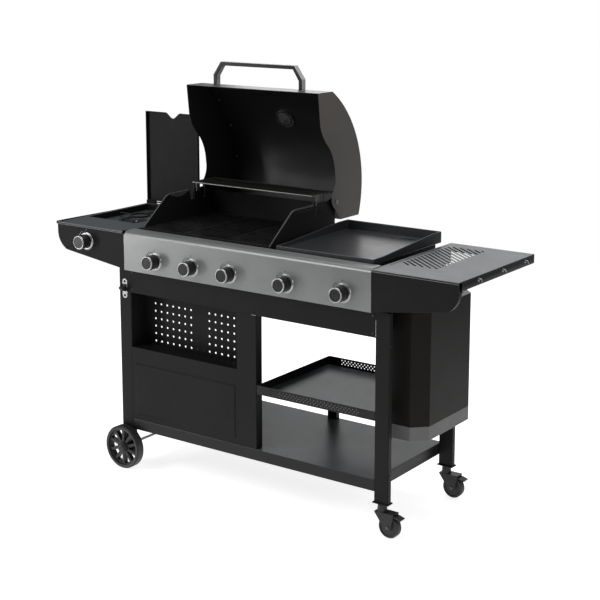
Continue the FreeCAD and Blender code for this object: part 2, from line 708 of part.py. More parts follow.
def make_burner_box():
    """The open-topped box under the griddle."""
    wall = s.firebox_wall
    x = (s.griddle_left + 6, griddle_right - 6)
    y = (back(s.firebox_front), back(s.firebox_back))
    top = s.griddle_level - s.griddle_thick
    shell = box(x, y, (s.firebox_low, top))
    room = box((x[0] + wall, x[1] - wall), (y[0] + wall, y[1] - wall), (s.firebox_low + wall, top + 1))
    ports = [rod("y", s.burner_radius + s.loose_gap, (knob, y[0] - 1, s.knob_level), wall + 2)
             for knob in KNOBS[3:]]
    node("griddle_box", cut(shell, room, *ports))


def make_flame_tamers():
    tents = []
    half, rise, thick = 32, 26, 1.5
    base = s.knob_level + 24
    for x in KNOBS[:3]:
        outline = [(x - half, base), (x, base + rise), (x + half, base), (x + half - 2 * thick, base),
                   (x, base + rise - 2 * thick), (x - half + 2 * thick, base)]
        span = (back(s.firebox_front + s.firebox_wall), back(s.firebox_back - s.firebox_wall))
        tents.append(prism("XZ", outline, span))
    node("flame_tamers", group(*tents))


def make_grates():
    """Three cast sections, each a rim with slim bars front to back and two cross ribs."""
    wall = s.firebox_wall
    room = (s.firebox_width - 2 * wall - 2 * s.grate_gap) / 3
    y = (back(s.firebox_front + wall + 3), back(s.firebox_back - wall - 3))
    z = (s.grate_level - s.grate_thick, s.grate_level)
    sections = []
    bars = 10
    for index in range(3):
        x0 = s.firebox_left + wall + s.grate_gap / 2 + (room + s.grate_gap / 2) * index
        x1 = x0 + room
        rim = 7
        outer = box((x0, x1), y, z)
        inner = box((x0 + rim, x1 - rim), (y[0] + rim, y[1] - rim), (z[0] - 1, z[1] + 1))
        pieces = [cut(outer, inner)]
        pitch = (x1 - x0 - rim) / (bars + 1)
        for bar in range(1, bars + 1):
            left = x0 + pitch * bar
            pieces.append(box((left, left + rim), y, (z[1] - 8, z[1])))
        for share in (0.34, 0.66):
            rib = y[0] + (y[1] - y[0]) * share
            pieces.append(box((x0, x1), (rib, rib + rim), (z[0], z[1] - 3)))
        sections.append(fuse(*pieces))
    node("cooking_grates", group(*sections))


def make_warming_rack():
    """A wire shelf on the firebox sides: a rim, close cross wires and a hooked leg at each end."""
    wire = s.rack_wire
    x0, x1 = s.firebox_left + 12, firebox_right - 12
    y0, y1 = back(s.rack_front), back(s.rack_back)
    level = s.rack_level
    pieces = []
    for y in (y0, (y0 + y1) / 2, y1):
        pieces.append(rod("x", wire * 1.25, (x0, y, level), x1 - x0))
    count = 46
    for index in range(count + 1):
        x = x0 + (x1 - x0) / count * index
        pieces.append(rod("y", wire * 0.8, (x, y0, level + wire), y1 - y0))
    low = s.pivot_z - 34 + wire
    for x, hook_end in ((x0, s.firebox_left), (x1, firebox_right - 12)):
        for y in (y0 + 6, y0 + 68):
            pieces.append(rod("z", wire, (x, y, low), level + wire - low))
            pieces.append(rod("x", wire, (hook_end, y, low), 12))
    node("warming_rack", fuse(*pieces))


def make_griddle():
    """A flat plate with a low front lip, side walls that rise to the back, and a grease slot."""
    x = (s.griddle_left, griddle_right)
    y = (back(s.griddle_front), back(s.griddle_back))
    thick = s.griddle_thick
    low = s.griddle_level - thick
    plate = box(x, y, (low, s.griddle_level))
    lip = box(x, (y[0], y[0] + thick), (low, s.griddle_lip))
    rear = box(x, (y[1] - thick, y[1]), (low, s.griddle_high))
    outline = [(y[0], low), (y[1], low), (y[1], s.griddle_high), (y[1] - 60, s.griddle_high),
               (y[0] + 60, s.griddle_lip), (y[0], s.griddle_lip)]
    sides = [prism("YZ", outline, (x0, x0 + thick)) for x0 in (x[0], x[1] - thick)]
    slot = box((x[0] + 210, x[0] + 300), (y[1] - 44, y[1] - 26), (low - 1, s.griddle_level + 1))
    node("griddle_plate", cut(fuse(plate, lip, rear, *sides), slot))


def grease_spans():
    """The grease tray's box, in the space under the firebox's drip hole."""
    x = (s.firebox_left + 184, s.firebox_left + 384)
    y = (back(s.firebox_front + 90), back(s.firebox_back + 20))
    z = (s.firebox_low - s.cross_high - 28, s.firebox_low - s.cross_high - 4)
    return x, y, z


def grease_runners():
    """Two folded runners welded under the firebox, one at each side of the grease tray."""
    x, y, z = grease_spans()
    runners = []
    gap = s.panel_gap
    thick = s.sheet_metal
    span = (back(s.firebox_front + 90), back(rear_leg))
    for side, edge in ((-1, x[0]), (1, x[1])):
        near, far = edge + side * gap, edge + side * (gap + thick)
        inner = edge - side * 8
        web = (far, near) if side < 0 else (near, far)
        foot = (far, inner) if side < 0 else (inner, far)
        upright = box(web, span, (z[0] - gap - thick, s.firebox_low + 1))
        runners.append(fuse(upright, box(foot, span, (z[0] - gap - thick, z[0] - gap))))
    return runners


def make_grease_tray():
    """A shallow tray on runners under the drip hole, drawn out to the back."""
    x, y, z = grease_spans()
    thick = s.sheet_metal
    tray = box(x, y, z)
    room = box((x[0] + thick, x[1] - thick), (y[0] + thick, y[1] - thick), (z[0] + thick, z[1] + 1))
    node("grease_tray", cut(tray, room))


# ---------------------------------------------------------------- hood

def hood_y(value):
    return value - s.pivot_y


def hood_z(value):
    return value - s.pivot_z


def arc_height(y, radius):
    """How high the hood's round top stands above its pivot at a depth y, for a given radius."""
    return s.hood_arc_z + root(radius * radius - (s.hood_arc_y - y) * (s.hood_arc_y - y)) - s.pivot_z


def make_hood():
    wall = s.hood_wall
    outer, inner = s.hood_radius, s.hood_radius - wall
    y0, y1 = s.hood_front, s.hood_back
    low, back_low = hood_z(s.hood_low), hood_z(s.hood_back_low)
    pivot = (s.hood_left, back(s.pivot_y), s.pivot_z)
    shell = [(hood_y(y0), low), (hood_y(y0), arc_height(y0, outer)),
             (hood_y(y1), arc_height(y1, outer)), (hood_y(y1), back_low),
             (hood_y(y1 - wall), back_low), (hood_y(y1 - wall), arc_height(y1 - wall, inner)),
             (hood_y(y0 + wall), arc_height(y0 + wall, inner)), (hood_y(y0 + wall), low)]
    skin = prism("YZ", shell, (0, s.hood_width), {1: (outer, 1), 5: (inner, -1)}, pivot, "tipped")
    node("hood_shell", cut(skin, gauge_hole()))

    sweep = [(452, 981), (402, 968), (333, 986), (225, 941), (149, 892)]
    cheek = [(hood_y(y0 + wall), low), (hood_y(y0 + wall), arc_height(y0 + wall, inner)),
             (hood_y(y1 - wall), arc_height(y1 - wall, inner)), (hood_y(y1 - wall), back_low)]
    cheek += [(hood_y(y), hood_z(z)) for y, z in sweep]
    bends = {1: (inner, 1), 4: (40, 1), 5: (75, -1), 6: (170, -1), 7: (155, 1)}
    for name, x0 in (("hood_side_left", s.hood_left), ("hood_side_right", hood_right - wall)):
        at = (x0, back(s.pivot_y), s.pivot_z)
        plate = prism("YZ", cheek, (0, wall), bends, at, "tipped")
        bore = rod("x", s.pivot_radius + s.running_gap, (x0 - 1, back(s.pivot_y), s.pivot_z), wall + 2)
        node(name, cut(plate, bore))


def gauge_place():
    """Where the thermometer sits on the open hood, and the direction it faces."""
    angle = math.radians(33)
    centre_y = back(s.pivot_y + (s.hood_arc_z - s.pivot_z))
    centre_z = s.pivot_z + s.pivot_y - s.hood_arc_y
    return angle, centre_y, centre_z


def along_gauge(thing, distance):
    """Put a piece drawn along Z on the thermometer's axis, this far from the hood's arc centre."""
    angle, centre_y, centre_z = gauge_place()
    spin = FreeCAD.Rotation(V(0, 0, 1), V(0, math.cos(angle), math.sin(angle)))
    at = (hood_middle, centre_y + distance * math.cos(angle), centre_z + distance * math.sin(angle))
    thing.Placement = FreeCAD.Placement(V(*[float(value) for value in at]), spin)
    for axis, value in zip("xyz", at):
        bind(thing, f"Placement.Base.{axis}", value)
    return thing


def gauge_hole():
    return along_gauge(rod("z", 14, (0, 0, 0), 20), s.hood_radius - 12)


def make_gauge():
    radius = s.gauge_radius
    outline = [(0, -30), (3, -30), (3, -8), (13, -8), (13, 0.5), (radius - 6, 0.5), (radius - 2, 3),
               (radius - 2, 10), (radius - 4, 13), (radius - 8, 13), (radius - 9, 11.5), (0, 11.5)]
    dial = along_gauge(turned(outline, (0, 0, 0), "z"), s.hood_radius)
    ring = [(14.5, 0), (radius, 0), (radius, 2), (radius - 2, 3.5), (14.5, 3.5)]
    seat = along_gauge(turned(ring, (0, 0, 0), "z"), s.hood_radius - s.hood_wall - 6.2)
    node("hood_thermometer", group(dial, seat))


def make_handle():
    """A flat-bar handle on two feet that lean inwards, on the hood's front strip."""
    base = s.pivot_z + s.pivot_y - s.hood_front
    middle_y = back(s.pivot_y + (s.hood_low - s.pivot_z) + 50)
    y = (middle_y - s.handle_deep / 2, middle_y + s.handle_deep / 2)
    bar = s.handle_section
    half = s.handle_wide / 2
    foot = s.handle_foot
    top = base + s.handle_stand
    knee = base + s.handle_stand * 0.45
    left, right = hood_middle - half, hood_middle + half
    outline = [(left - foot, base + 2), (left - foot, knee), (left, top), (right, top),
               (right + foot, knee), (right + foot, base + 2), (right + foot - bar, base + 2),
               (right + foot - bar, knee - bar * 0.35), (right - bar * 0.4, top - bar),
               (left + bar * 0.4, top - bar), (left - foot + bar, knee - bar * 0.35),
               (left - foot + bar, base + 2)]
    grip = prism("XZ", outline, y)
    pads = []
    for x0 in (left - foot - 3, right + foot - bar - 3):
        pads.append(box((x0, x0 + bar + 6), (y[0] - 2, y[1] + 2), (base, base + 2)))
    node("hood_handle", group(grip, *pads))


def make_hood_pins():
    pins = []
    wall = s.hood_wall
    for x0, x1 in ((s.hood_left - 3, s.firebox_left + s.firebox_wall + 3),
                   (firebox_right - s.firebox_wall - 3, hood_right + 3)):
        pins.append(rod("x", s.pivot_radius, (x0, back(s.pivot_y), s.pivot_z), x1 - x0))
    for x0, x1 in ((s.hood_left + wall + s.panel_gap, s.firebox_left),
                   (firebox_right, hood_right - wall - s.panel_gap)):
        pins.append(rod("x", 9, (x0, back(s.pivot_y), s.pivot_z), x1 - x0))
    node("hood_pins", group(fuse(pins[0], pins[2]), fuse(pins[1], pins[3])))


# ---------------------------------------------------------------- side shelves

def shelf_pan(x):
    """A folded shelf top: a flat sheet with its edges turned down, deep at the sides and back and
    only a narrow lip at the front, where it laps over the fascia."""
    thick = s.sheet_metal
    y = (back(s.fascia_deep - s.panel_out), back(s.shelf_back))
    low = s.top_level - s.shelf_edge
    outer = box(x, y, (low, s.top_level))
    hollow = box((x[0] + thick, x[1] - thick), (y[0] + thick, y[1] - thick), (low - 1, s.top_level - thick))
    nose = box(x, (back(-s.panel_out - thick), y[0]), (s.top_level - s.shelf_nose, s.top_level))
    room = box((x[0] - 1, x[1] + 1), (back(-s.panel_out), y[0]),
               (s.top_level - s.shelf_nose - 1, s.top_level - thick))
    return fuse(cut(outer, hollow), cut(nose, room))


def fascia(inner_x, outer_x):
    """The black front of a shelf: its lower edge rises outward to a rounded corner."""
    def outline(inset):
        sign = 1 if float(outer_x) > float(inner_x) else -1
        x0, x1 = inner_x + sign * inset, outer_x - sign * inset
        low_in, low_out = s.fascia_inner + inset, s.fascia_outer + inset
        top = s.top_level - s.sheet_metal - inset
        corner_wide, corner_high = s.fascia_corner - inset, s.fascia_rise - inset
        points = [(x0, top), (x0, low_in), (x1 - sign * corner_wide, low_out),
                  (x1, low_out + corner_high), (x1, top)]
        return points, {2: (s.fascia_round - inset, -sign)}
    y0 = back(-s.panel_out)
    points, arcs = outline(0)
    solid = prism("XZ", points, (y0, y0 + s.fascia_deep), arcs)
    points, arcs = outline(s.fascia_thick)
    room = prism("XZ", points, (y0 + s.fascia_thick, y0 + s.fascia_deep + 1), arcs)
    return cut(solid, room)


def make_right_shelf():
    """Shelf with cooling slots and a deep inner flange, its fascia, and three utensil hooks."""
    x = (panel_right + s.panel_gap, shelf_right)
    y = (back(s.fascia_deep - s.panel_out), back(s.shelf_back))
    flange = box((x[0], x[0] + s.sheet_metal), y, (s.top_level - s.shelf_flange, s.top_level))
    pan = fuse(shelf_pan(x), flange)
    slots = []
    count = 25
    middle = (count - 1) / 2
    y_first = 82
    pitch = 14
    slot_mid = 102
    for index in range(count):
        away = abs(index - middle) / middle
        half = 64 - 26 * away
        y = back(y_first + pitch * index)
        slots.append(box((panel_right + slot_mid - half, panel_right + slot_mid + half),
                         (y - 2.5, y + 2.5), (s.top_level - 3, s.top_level + 1)))
    slots.append(box((panel_right + 12, panel_right + 15), (back(60), back(430)),
                     (s.top_level - 3, s.top_level + 1)))
    node("right_shelf", cut(pan, *slots))
    front_face = fascia(panel_right + s.panel_gap, shelf_right)
    node("right_fascia", front_face)
    hooks = []
    wire = s.hook_wire
    for y in (92, 252, 409):
        z = s.top_level - 12
        x0 = shelf_right
        reach = s.hook_reach - wire
        points = [(x0, back(y), z), (x0 + reach, back(y), z), (x0 + reach, back(y), z - 26)]
        hooks.append(bent_wire(points, wire, 5))
    node("utensil_hooks", group(*hooks))


def well_spans():
    x = (shelf_left + 20, shelf_left + 20 + s.well_wide)
    y = (back(s.shelf_back - 35 - s.well_long), back(s.shelf_back - 35))
    return x, y


def make_left_shelf():
    thick = s.sheet_metal
    pan = shelf_pan((shelf_left, panel_left - s.panel_gap))
    x, y = well_spans()
    mouth = box(x, y, (s.top_level - 5, s.top_level + 1))
    node("left_shelf", cut(pan, mouth))
    low = s.top_level - s.well_deep
    outer = box((x[0] + 0.2, x[1] - 0.2), (y[0] + 0.2, y[1] - 0.2), (low, s.top_level))
    inner = box((x[0] + thick, x[1] - thick), (y[0] + thick, y[1] - thick), (low + thick, s.top_level + 1))
    centre = (s.side_burner_x, back(s.side_burner_y), low)
    mouth = rod("z", s.bowl_radius - thick, (centre[0], centre[1], low - 1), thick + 2)
    radius, deep, skin = s.bowl_radius, s.bowl_deep, s.bowl_sheet
    bowl = turned([(32, -deep), (radius - 16, -deep), (radius, 0), (radius, thick),
                   (radius - thick, thick), (radius - 16 - skin, skin - deep), (32, skin - deep)],
                  centre, "z")
    node("burner_well", fuse(cut(outer, inner, mouth), bowl))
    front_face = fascia(panel_left - s.panel_gap, shelf_left)
    hole = rod("y", s.stem_radius + s.loose_gap,
               (s.side_burner_x, back(-s.panel_out - 1), s.side_knob_level), s.fascia_thick + 2)
    node("left_fascia", cut(front_face, hole))


def make_side_burner():
    """Cup and cap of the side burner in its bowl, and the trivet that holds a pan over it."""
    x, y = s.side_burner_x, back(s.side_burner_y)
    floor = s.top_level - s.well_deep
    low = floor - s.bowl_deep + s.bowl_sheet
    cup = turned([(0, -22), (31, -22), (31, 0), (44, 0), (46, 6), (38, 14), (30, 16), (30, 20), (0, 21)],
                 (x, y, low), "z")
    node("side_burner", cup)
    wire = s.trivet_wire
    level = s.top_level - wire - 3
    reach = s.bowl_radius + 14
    ring_high = 2 * wire + 1
    ring_low = level - ring_high / 2
    ring = cut(rod("z", 40, (x, y, ring_low), ring_high), rod("z", 34, (x, y, ring_low - 1), ring_high + 2))
    pieces = [ring]
    foot = wire * 0.85
    foot_low = floor + s.sheet_metal
    for start, turn, length in ((-reach, "x", reach - 37), (37, "x", reach - 37)):
        pieces.append(rod(turn, wire, (x + start, y, level), length))
        pieces.append(rod("y", wire, (x, y + start, level), length))
    for side in (-1, 1):
        stand = side * (reach - 4)
        pieces.append(rod("z", foot, (x + stand, y, foot_low), level - foot_low))
        pieces.append(rod("z", foot, (x, y + stand, foot_low), level - foot_low))
    node("side_trivet", fuse(*pieces))


def make_side_lid():
    """A folded lid that stands behind the side burner and swings forward over it on a rod."""
    thick = s.sheet_metal
    rod_y, rod_z = back(s.shelf_back - 11), s.top_level + s.lid_deep / 2 + 1
    x = (shelf_left + 8, shelf_left + 8 + s.lid_width)
    y = (rod_y - s.lid_deep / 2, rod_y + s.lid_deep / 2)
    z = (rod_z + 7, rod_z + 7 + s.lid_length)
    outer = box(x, y, z)
    hollow = box((x[0] + thick, x[1] - thick), (y[0] - 1, y[1] - thick), (z[0] + thick, z[1] - thick))
    middle = (x[0] + x[1]) / 2
    half = 39.5
    notch = prism("XZ", [(middle - half, z[1] + 1), (middle - half + 12, z[1] - 22),
                         (middle + half - 12, z[1] - 22), (middle + half, z[1] + 1)],
                  (y[0] - 1, y[1] + 1))
    knuckles = []
    for x0 in (x[0], x[1] - 40):
        knuckles.append(rod("x", 6, (x0, rod_y, rod_z), 40))
        knuckles.append(box((x0, x0 + 40), (rod_y - 1, rod_y + s.lid_deep / 2), (rod_z, z[0] + thick)))
    bore = rod("x", s.lid_rod + s.running_gap, (x[0] - 1, rod_y, rod_z), s.lid_width + 2)
    node("side_lid", cut(fuse(cut(outer, hollow, notch), *knuckles), bore))
    start = (x[0] - 5, rod_y, rod_z)
    pin = rod("x", s.lid_rod, start, s.lid_width + 10)
    ears = []
    for x0 in (x[0] - 4.5, x[1] + 1.5):
        ears.append(box((x0, x0 + 3), (rod_y - 6, rod_y + 6), (s.top_level, rod_z + 6)))
    node("side_lid_rod", fuse(pin, *ears))


# ---------------------------------------------------------------- small parts

def make_bottle_opener():
    """An oval plate on the front left leg with a bent lip that catches a crown cap."""
    middle, low, high = left_leg_mid, 637, 710
    half = 11
    outline = [(middle - half, low + half), (middle + half, low + half),
               (middle + half, high - half), (middle - half, high - half)]
    plate = prism("XZ", outline, (back(-2), back(0)), {0: (half + 0.01, -1), 2: (half + 0.01, -1)})
    lip = [(back(-2), 690), (back(-2), 664), (back(-8), 664), (back(-24), 672), (back(-26), 682),
           (back(-22), 682), (back(-20), 675), (back(-8), 669), (back(-5), 690)]
    hook = prism("YZ", lip, (middle - half + 2, middle + half - 2))
    node("bottle_opener", fuse(plate, hook))


def make_screws():
    """Button-head screws: two on the opener and one at each end of the apron and lower panel."""
    head = [(0, 0), (4.5, 0), (4, 1.6), (2, 2.4), (0, 2.6)]
    spots = [(left_leg_mid, -2, 648), (left_leg_mid, -2, 699)]
    for z in (676, 735):
        spots.append((left_in + 9, 0, z))
        spots.append((right_in - 9, 0, z))
    screws = [turned(head, (x, back(y), z), "-y") for x, y, z in spots]
    for y in (10, 430):
        for z in (205, 640):
            screws.append(turned(head, (right_out, back(y), z), "x"))
    node("frame_screws", group(*screws))


make_legs()
make_top_frame()
make_front_apron()
make_bottom_shelf()
make_middle_tray()
make_rear_mid_post()
make_cabinet_front()
make_niche()
make_side_bin()
make_axle()
make_wheel("wheel_front", back(-3), -1)
make_wheel("wheel_rear", back(s.cart_depth + 3), 1)
make_wheel_caps()
for castor_end in ("front", "rear"):
    make_castor(castor_end)
make_control_panel()
make_bezels()
for number, knob_x in enumerate(KNOBS, start=1):
    make_knob(f"knob_{number}", knob_x, s.knob_level)
make_knob("side_knob", s.side_burner_x, s.side_knob_level)
make_gas_train()
make_burners()
make_firebox()
make_burner_box()
make_flame_tamers()
make_grates()
make_warming_rack()
make_griddle()
make_grease_tray()
make_hood()
make_gauge()
make_handle()
make_hood_pins()
make_right_shelf()
make_left_shelf()
make_side_burner()
make_side_lid()
make_bottle_opener()
make_screws()
doc.recompute()

# Every feature has to have built before anything is written.
failed = [thing.Label for thing in doc.Objects if {"Invalid", "Error"} & set(thing.State)]
failed += [thing.Label for thing in nodes if thing.Shape.isNull() or not thing.Shape.isValid()]
if failed:
    raise RuntimeError(f"these did not build: {failed}")
for thing in nodes:
    thing.Shape.exportStep(f"parts/{thing.Label}.step")
print(f"{len(nodes)} nodes written")
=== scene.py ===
import json
import math

import bmesh
import bpy
from mathutils import Matrix, Vector

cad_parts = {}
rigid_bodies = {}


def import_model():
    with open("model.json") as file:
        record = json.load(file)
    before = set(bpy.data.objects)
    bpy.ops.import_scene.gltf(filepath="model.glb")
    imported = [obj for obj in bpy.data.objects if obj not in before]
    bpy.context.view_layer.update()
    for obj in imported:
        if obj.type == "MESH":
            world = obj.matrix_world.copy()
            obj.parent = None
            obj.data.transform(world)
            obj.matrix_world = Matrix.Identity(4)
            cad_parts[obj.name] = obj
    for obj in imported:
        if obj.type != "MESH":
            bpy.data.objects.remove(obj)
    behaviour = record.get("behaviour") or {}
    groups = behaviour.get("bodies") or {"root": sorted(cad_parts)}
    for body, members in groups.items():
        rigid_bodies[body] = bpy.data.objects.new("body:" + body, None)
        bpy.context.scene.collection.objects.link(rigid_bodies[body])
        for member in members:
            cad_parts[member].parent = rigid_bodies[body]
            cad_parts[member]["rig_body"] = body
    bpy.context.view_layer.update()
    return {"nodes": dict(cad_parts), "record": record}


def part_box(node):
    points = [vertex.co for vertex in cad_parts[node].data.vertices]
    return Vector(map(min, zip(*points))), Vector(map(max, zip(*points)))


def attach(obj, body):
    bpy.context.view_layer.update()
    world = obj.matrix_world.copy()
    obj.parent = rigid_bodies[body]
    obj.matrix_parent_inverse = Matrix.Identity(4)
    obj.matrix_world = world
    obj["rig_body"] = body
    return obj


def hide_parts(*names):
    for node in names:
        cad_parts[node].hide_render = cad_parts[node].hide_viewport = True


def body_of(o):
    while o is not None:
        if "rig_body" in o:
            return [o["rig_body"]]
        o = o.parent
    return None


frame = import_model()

MM = 0.001
NODES = frame["nodes"]
X, Y, Z = Vector((1, 0, 0)), Vector((0, 1, 0)), Vector((0, 0, 1))


# ---------------------------------------------------------------- materials

def wire(tree, source, output, target, name):
    """Join a node's output to another node's input."""
    tree.links.new(source.outputs[output], target.inputs[name])


def shader(name, base, rough, metallic=0.0, specular=0.5):
    """A new material whose Principled shader has these plain values."""
    made = bpy.data.materials.new(name)
    made.use_nodes = True
    bsdf = made.node_tree.nodes["Principled BSDF"]
    bsdf.inputs["Base Color"].default_value = (*base, 1)
    bsdf.inputs["Roughness"].default_value = rough
    bsdf.inputs["Metallic"].default_value = metallic
    bsdf.inputs["Specular IOR Level"].default_value = specular
    return made, made.node_tree, bsdf


def noise(tree, scale, detail=4.0, rough=0.55, stretch=None):
    """A noise pattern fixed to the object, optionally stretched along an axis."""
    place = tree.nodes.new("ShaderNodeTexCoord")
    pattern = tree.nodes.new("ShaderNodeTexNoise")
    pattern.inputs["Scale"].default_value = scale
    pattern.inputs["Detail"].default_value = detail
    pattern.inputs["Roughness"].default_value = rough
    if stretch is None:
        wire(tree, place, "Object", pattern, "Vector")
        return pattern
    mapping = tree.nodes.new("ShaderNodeMapping")
    mapping.inputs["Scale"].default_value = stretch
    wire(tree, place, "Object", mapping, "Vector")
    wire(tree, mapping, "Vector", pattern, "Vector")
    return pattern


def tint(tree, factor, low, high, span=(0.35, 0.65)):
    """Blend two colours by a pattern, over the part of its range where it really varies."""
    ramp = tree.nodes.new("ShaderNodeValToRGB")
    ramp.color_ramp.elements[0].position, ramp.color_ramp.elements[1].position = span
    ramp.color_ramp.elements[0].color = (*low, 1)
    ramp.color_ramp.elements[1].color = (*high, 1)
    wire(tree, factor, 0, ramp, "Fac")
    return ramp


def spread(tree, factor, low, high, span=(0.35, 0.65)):
    """Map a pattern onto a range of values, such as roughness."""
    mapped = tree.nodes.new("ShaderNodeMapRange")
    mapped.inputs["From Min"].default_value, mapped.inputs["From Max"].default_value = span
    mapped.inputs["To Min"].default_value = low
    mapped.inputs["To Max"].default_value = high
    wire(tree, factor, 0, mapped, "Value")
    return mapped


def bump(tree, bsdf, pattern, height, strength=0.6):
    """Raise the surface by a pattern, through its normals only."""
    relief = tree.nodes.new("ShaderNodeBump")
    relief.inputs["Distance"].default_value = height
    relief.inputs["Strength"].default_value = strength
    wire(tree, pattern, 0, relief, "Height")
    wire(tree, relief, "Normal", bsdf, "Normal")


def coated(name, colour, other, rough, grain=900.0, relief=0.00006, metallic=0.0, specular=0.35):
    """Powder coat or enamel: a fine orange-peel grain, faint cloudy colour and uneven gloss."""
    made, tree, bsdf = shader(name, colour, rough, metallic, specular)
    clouds = noise(tree, 7.0, 5.0)
    wire(tree, tint(tree, clouds, colour, other), "Color", bsdf, "Base Color")
    smears = noise(tree, 19.0, 6.0, 0.65)
    wire(tree, spread(tree, smears, rough - 0.02, rough + 0.03), "Result", bsdf, "Roughness")
    bump(tree, bsdf, noise(tree, grain, 3.0), relief)
    return made


def brushed(name, colour, other, rough, stretch):
    """Steel with fine lines along one direction."""
    made, tree, bsdf = shader(name, colour, rough, 1.0)
    lines = noise(tree, 60.0, 5.0, 0.7, stretch)
    wire(tree, tint(tree, lines, colour, other), "Color", bsdf, "Base Color")
    wire(tree, spread(tree, lines, rough - 0.07, rough + 0.1), "Result", bsdf, "Roughness")
    bump(tree, bsdf, lines, 0.00002, 0.4)
    return made


def cast(name, colour, other, rough):
    """Seasoned cast iron: a coarse sand-cast grain with greasy patches."""
    made, tree, bsdf = shader(name, colour, rough, 0.0, 0.3)
    grease = noise(tree, 24.0, 6.0, 0.6)
    wire(tree, tint(tree, grease, colour, other), "Color", bsdf, "Base Color")
    wire(tree, spread(tree, grease, rough - 0.14, rough + 0.12), "Result", bsdf, "Roughness")
    bump(tree, bsdf, noise(tree, 420.0, 5.0, 0.7), 0.00025, 0.7)
    return made


def two_tone(tree, bsdf, share, shown, rest, rough, lifts, smear_scale):
    """Colour a coat by a share from rest to shown, each faintly cloudy, with an uneven gloss."""
    clouds = noise(tree, 9.0, 5.0)
    mix = tree.nodes.new("ShaderNodeMix")
    mix.data_type = "RGBA"
    wire(tree, share, "Result", mix, 0)
    for socket, colour, lift in ((6, rest, lifts[0]), (7, shown, lifts[1])):
        wire(tree, tint(tree, clouds, colour, [part * lift for part in colour]), "Color", mix, socket)
    wire(tree, mix, 2, bsdf, "Base Color")
    smears = noise(tree, smear_scale, 6.0, 0.65)
    wire(tree, spread(tree, smears, rough - 0.015, rough + 0.02), "Result", bsdf, "Roughness")
    bump(tree, bsdf, noise(tree, 900.0, 3.0), 0.00005)


def painted_light_coat(name, shown, rest, rough, facing=None, away_from=None, metallic=0.0, specular=0.3):
    """Coat with painted light: one colour where the surface faces a direction, or away from a line along X,
    and another colour elsewhere, so a side is painted lighter or darker by how light falls on it."""
    made, tree, bsdf = shader(name, shown, rough, metallic, specular)
    place = tree.nodes.new("ShaderNodeTexCoord")
    dot = tree.nodes.new("ShaderNodeVectorMath")
    dot.operation = "DOT_PRODUCT"
    wire(tree, place, "Normal", dot, 0)
    if away_from:
        outward = tree.nodes.new("ShaderNodeVectorMath")
        outward.operation = "SUBTRACT"
        wire(tree, place, "Object", outward, 0)
        outward.inputs[1].default_value = away_from
        flat = tree.nodes.new("ShaderNodeVectorMath")
        flat.operation = "MULTIPLY"
        wire(tree, outward, "Vector", flat, 0)
        flat.inputs[1].default_value = (0, 1, 1)
        tree.links.new(flat.outputs["Vector"], dot.inputs[1])
    else:
        dot.inputs[1].default_value = facing
    step = tree.nodes.new("ShaderNodeMapRange")
    step.inputs["From Min"].default_value = 0.05
    step.inputs["From Max"].default_value = 0.35 if facing else 0.12
    tree.links.new(dot.outputs["Value"], step.inputs["Value"])
    two_tone(tree, bsdf, step, shown, rest, rough, (1.1, 1.06), 16.0)
    return made


def parted(name, colour, other, rough, axis, level, metallic=0.0, specular=0.22):
    """A coat that changes colour at a level along an axis; the first colour lies beyond it."""
    made, tree, bsdf = shader(name, colour, rough, metallic, specular)
    place = tree.nodes.new("ShaderNodeTexCoord")
    dot = tree.nodes.new("ShaderNodeVectorMath")
    dot.operation = "DOT_PRODUCT"
    wire(tree, place, "Object", dot, 0)
    dot.inputs[1].default_value = axis
    step = tree.nodes.new("ShaderNodeMapRange")
    step.inputs["From Min"].default_value = level - 0.1 * MM
    step.inputs["From Max"].default_value = level + 0.1 * MM
    tree.links.new(dot.outputs["Value"], step.inputs["Value"])
    two_tone(tree, bsdf, step, colour, other, rough, (1.2, 1.12), 17.0)
    return made


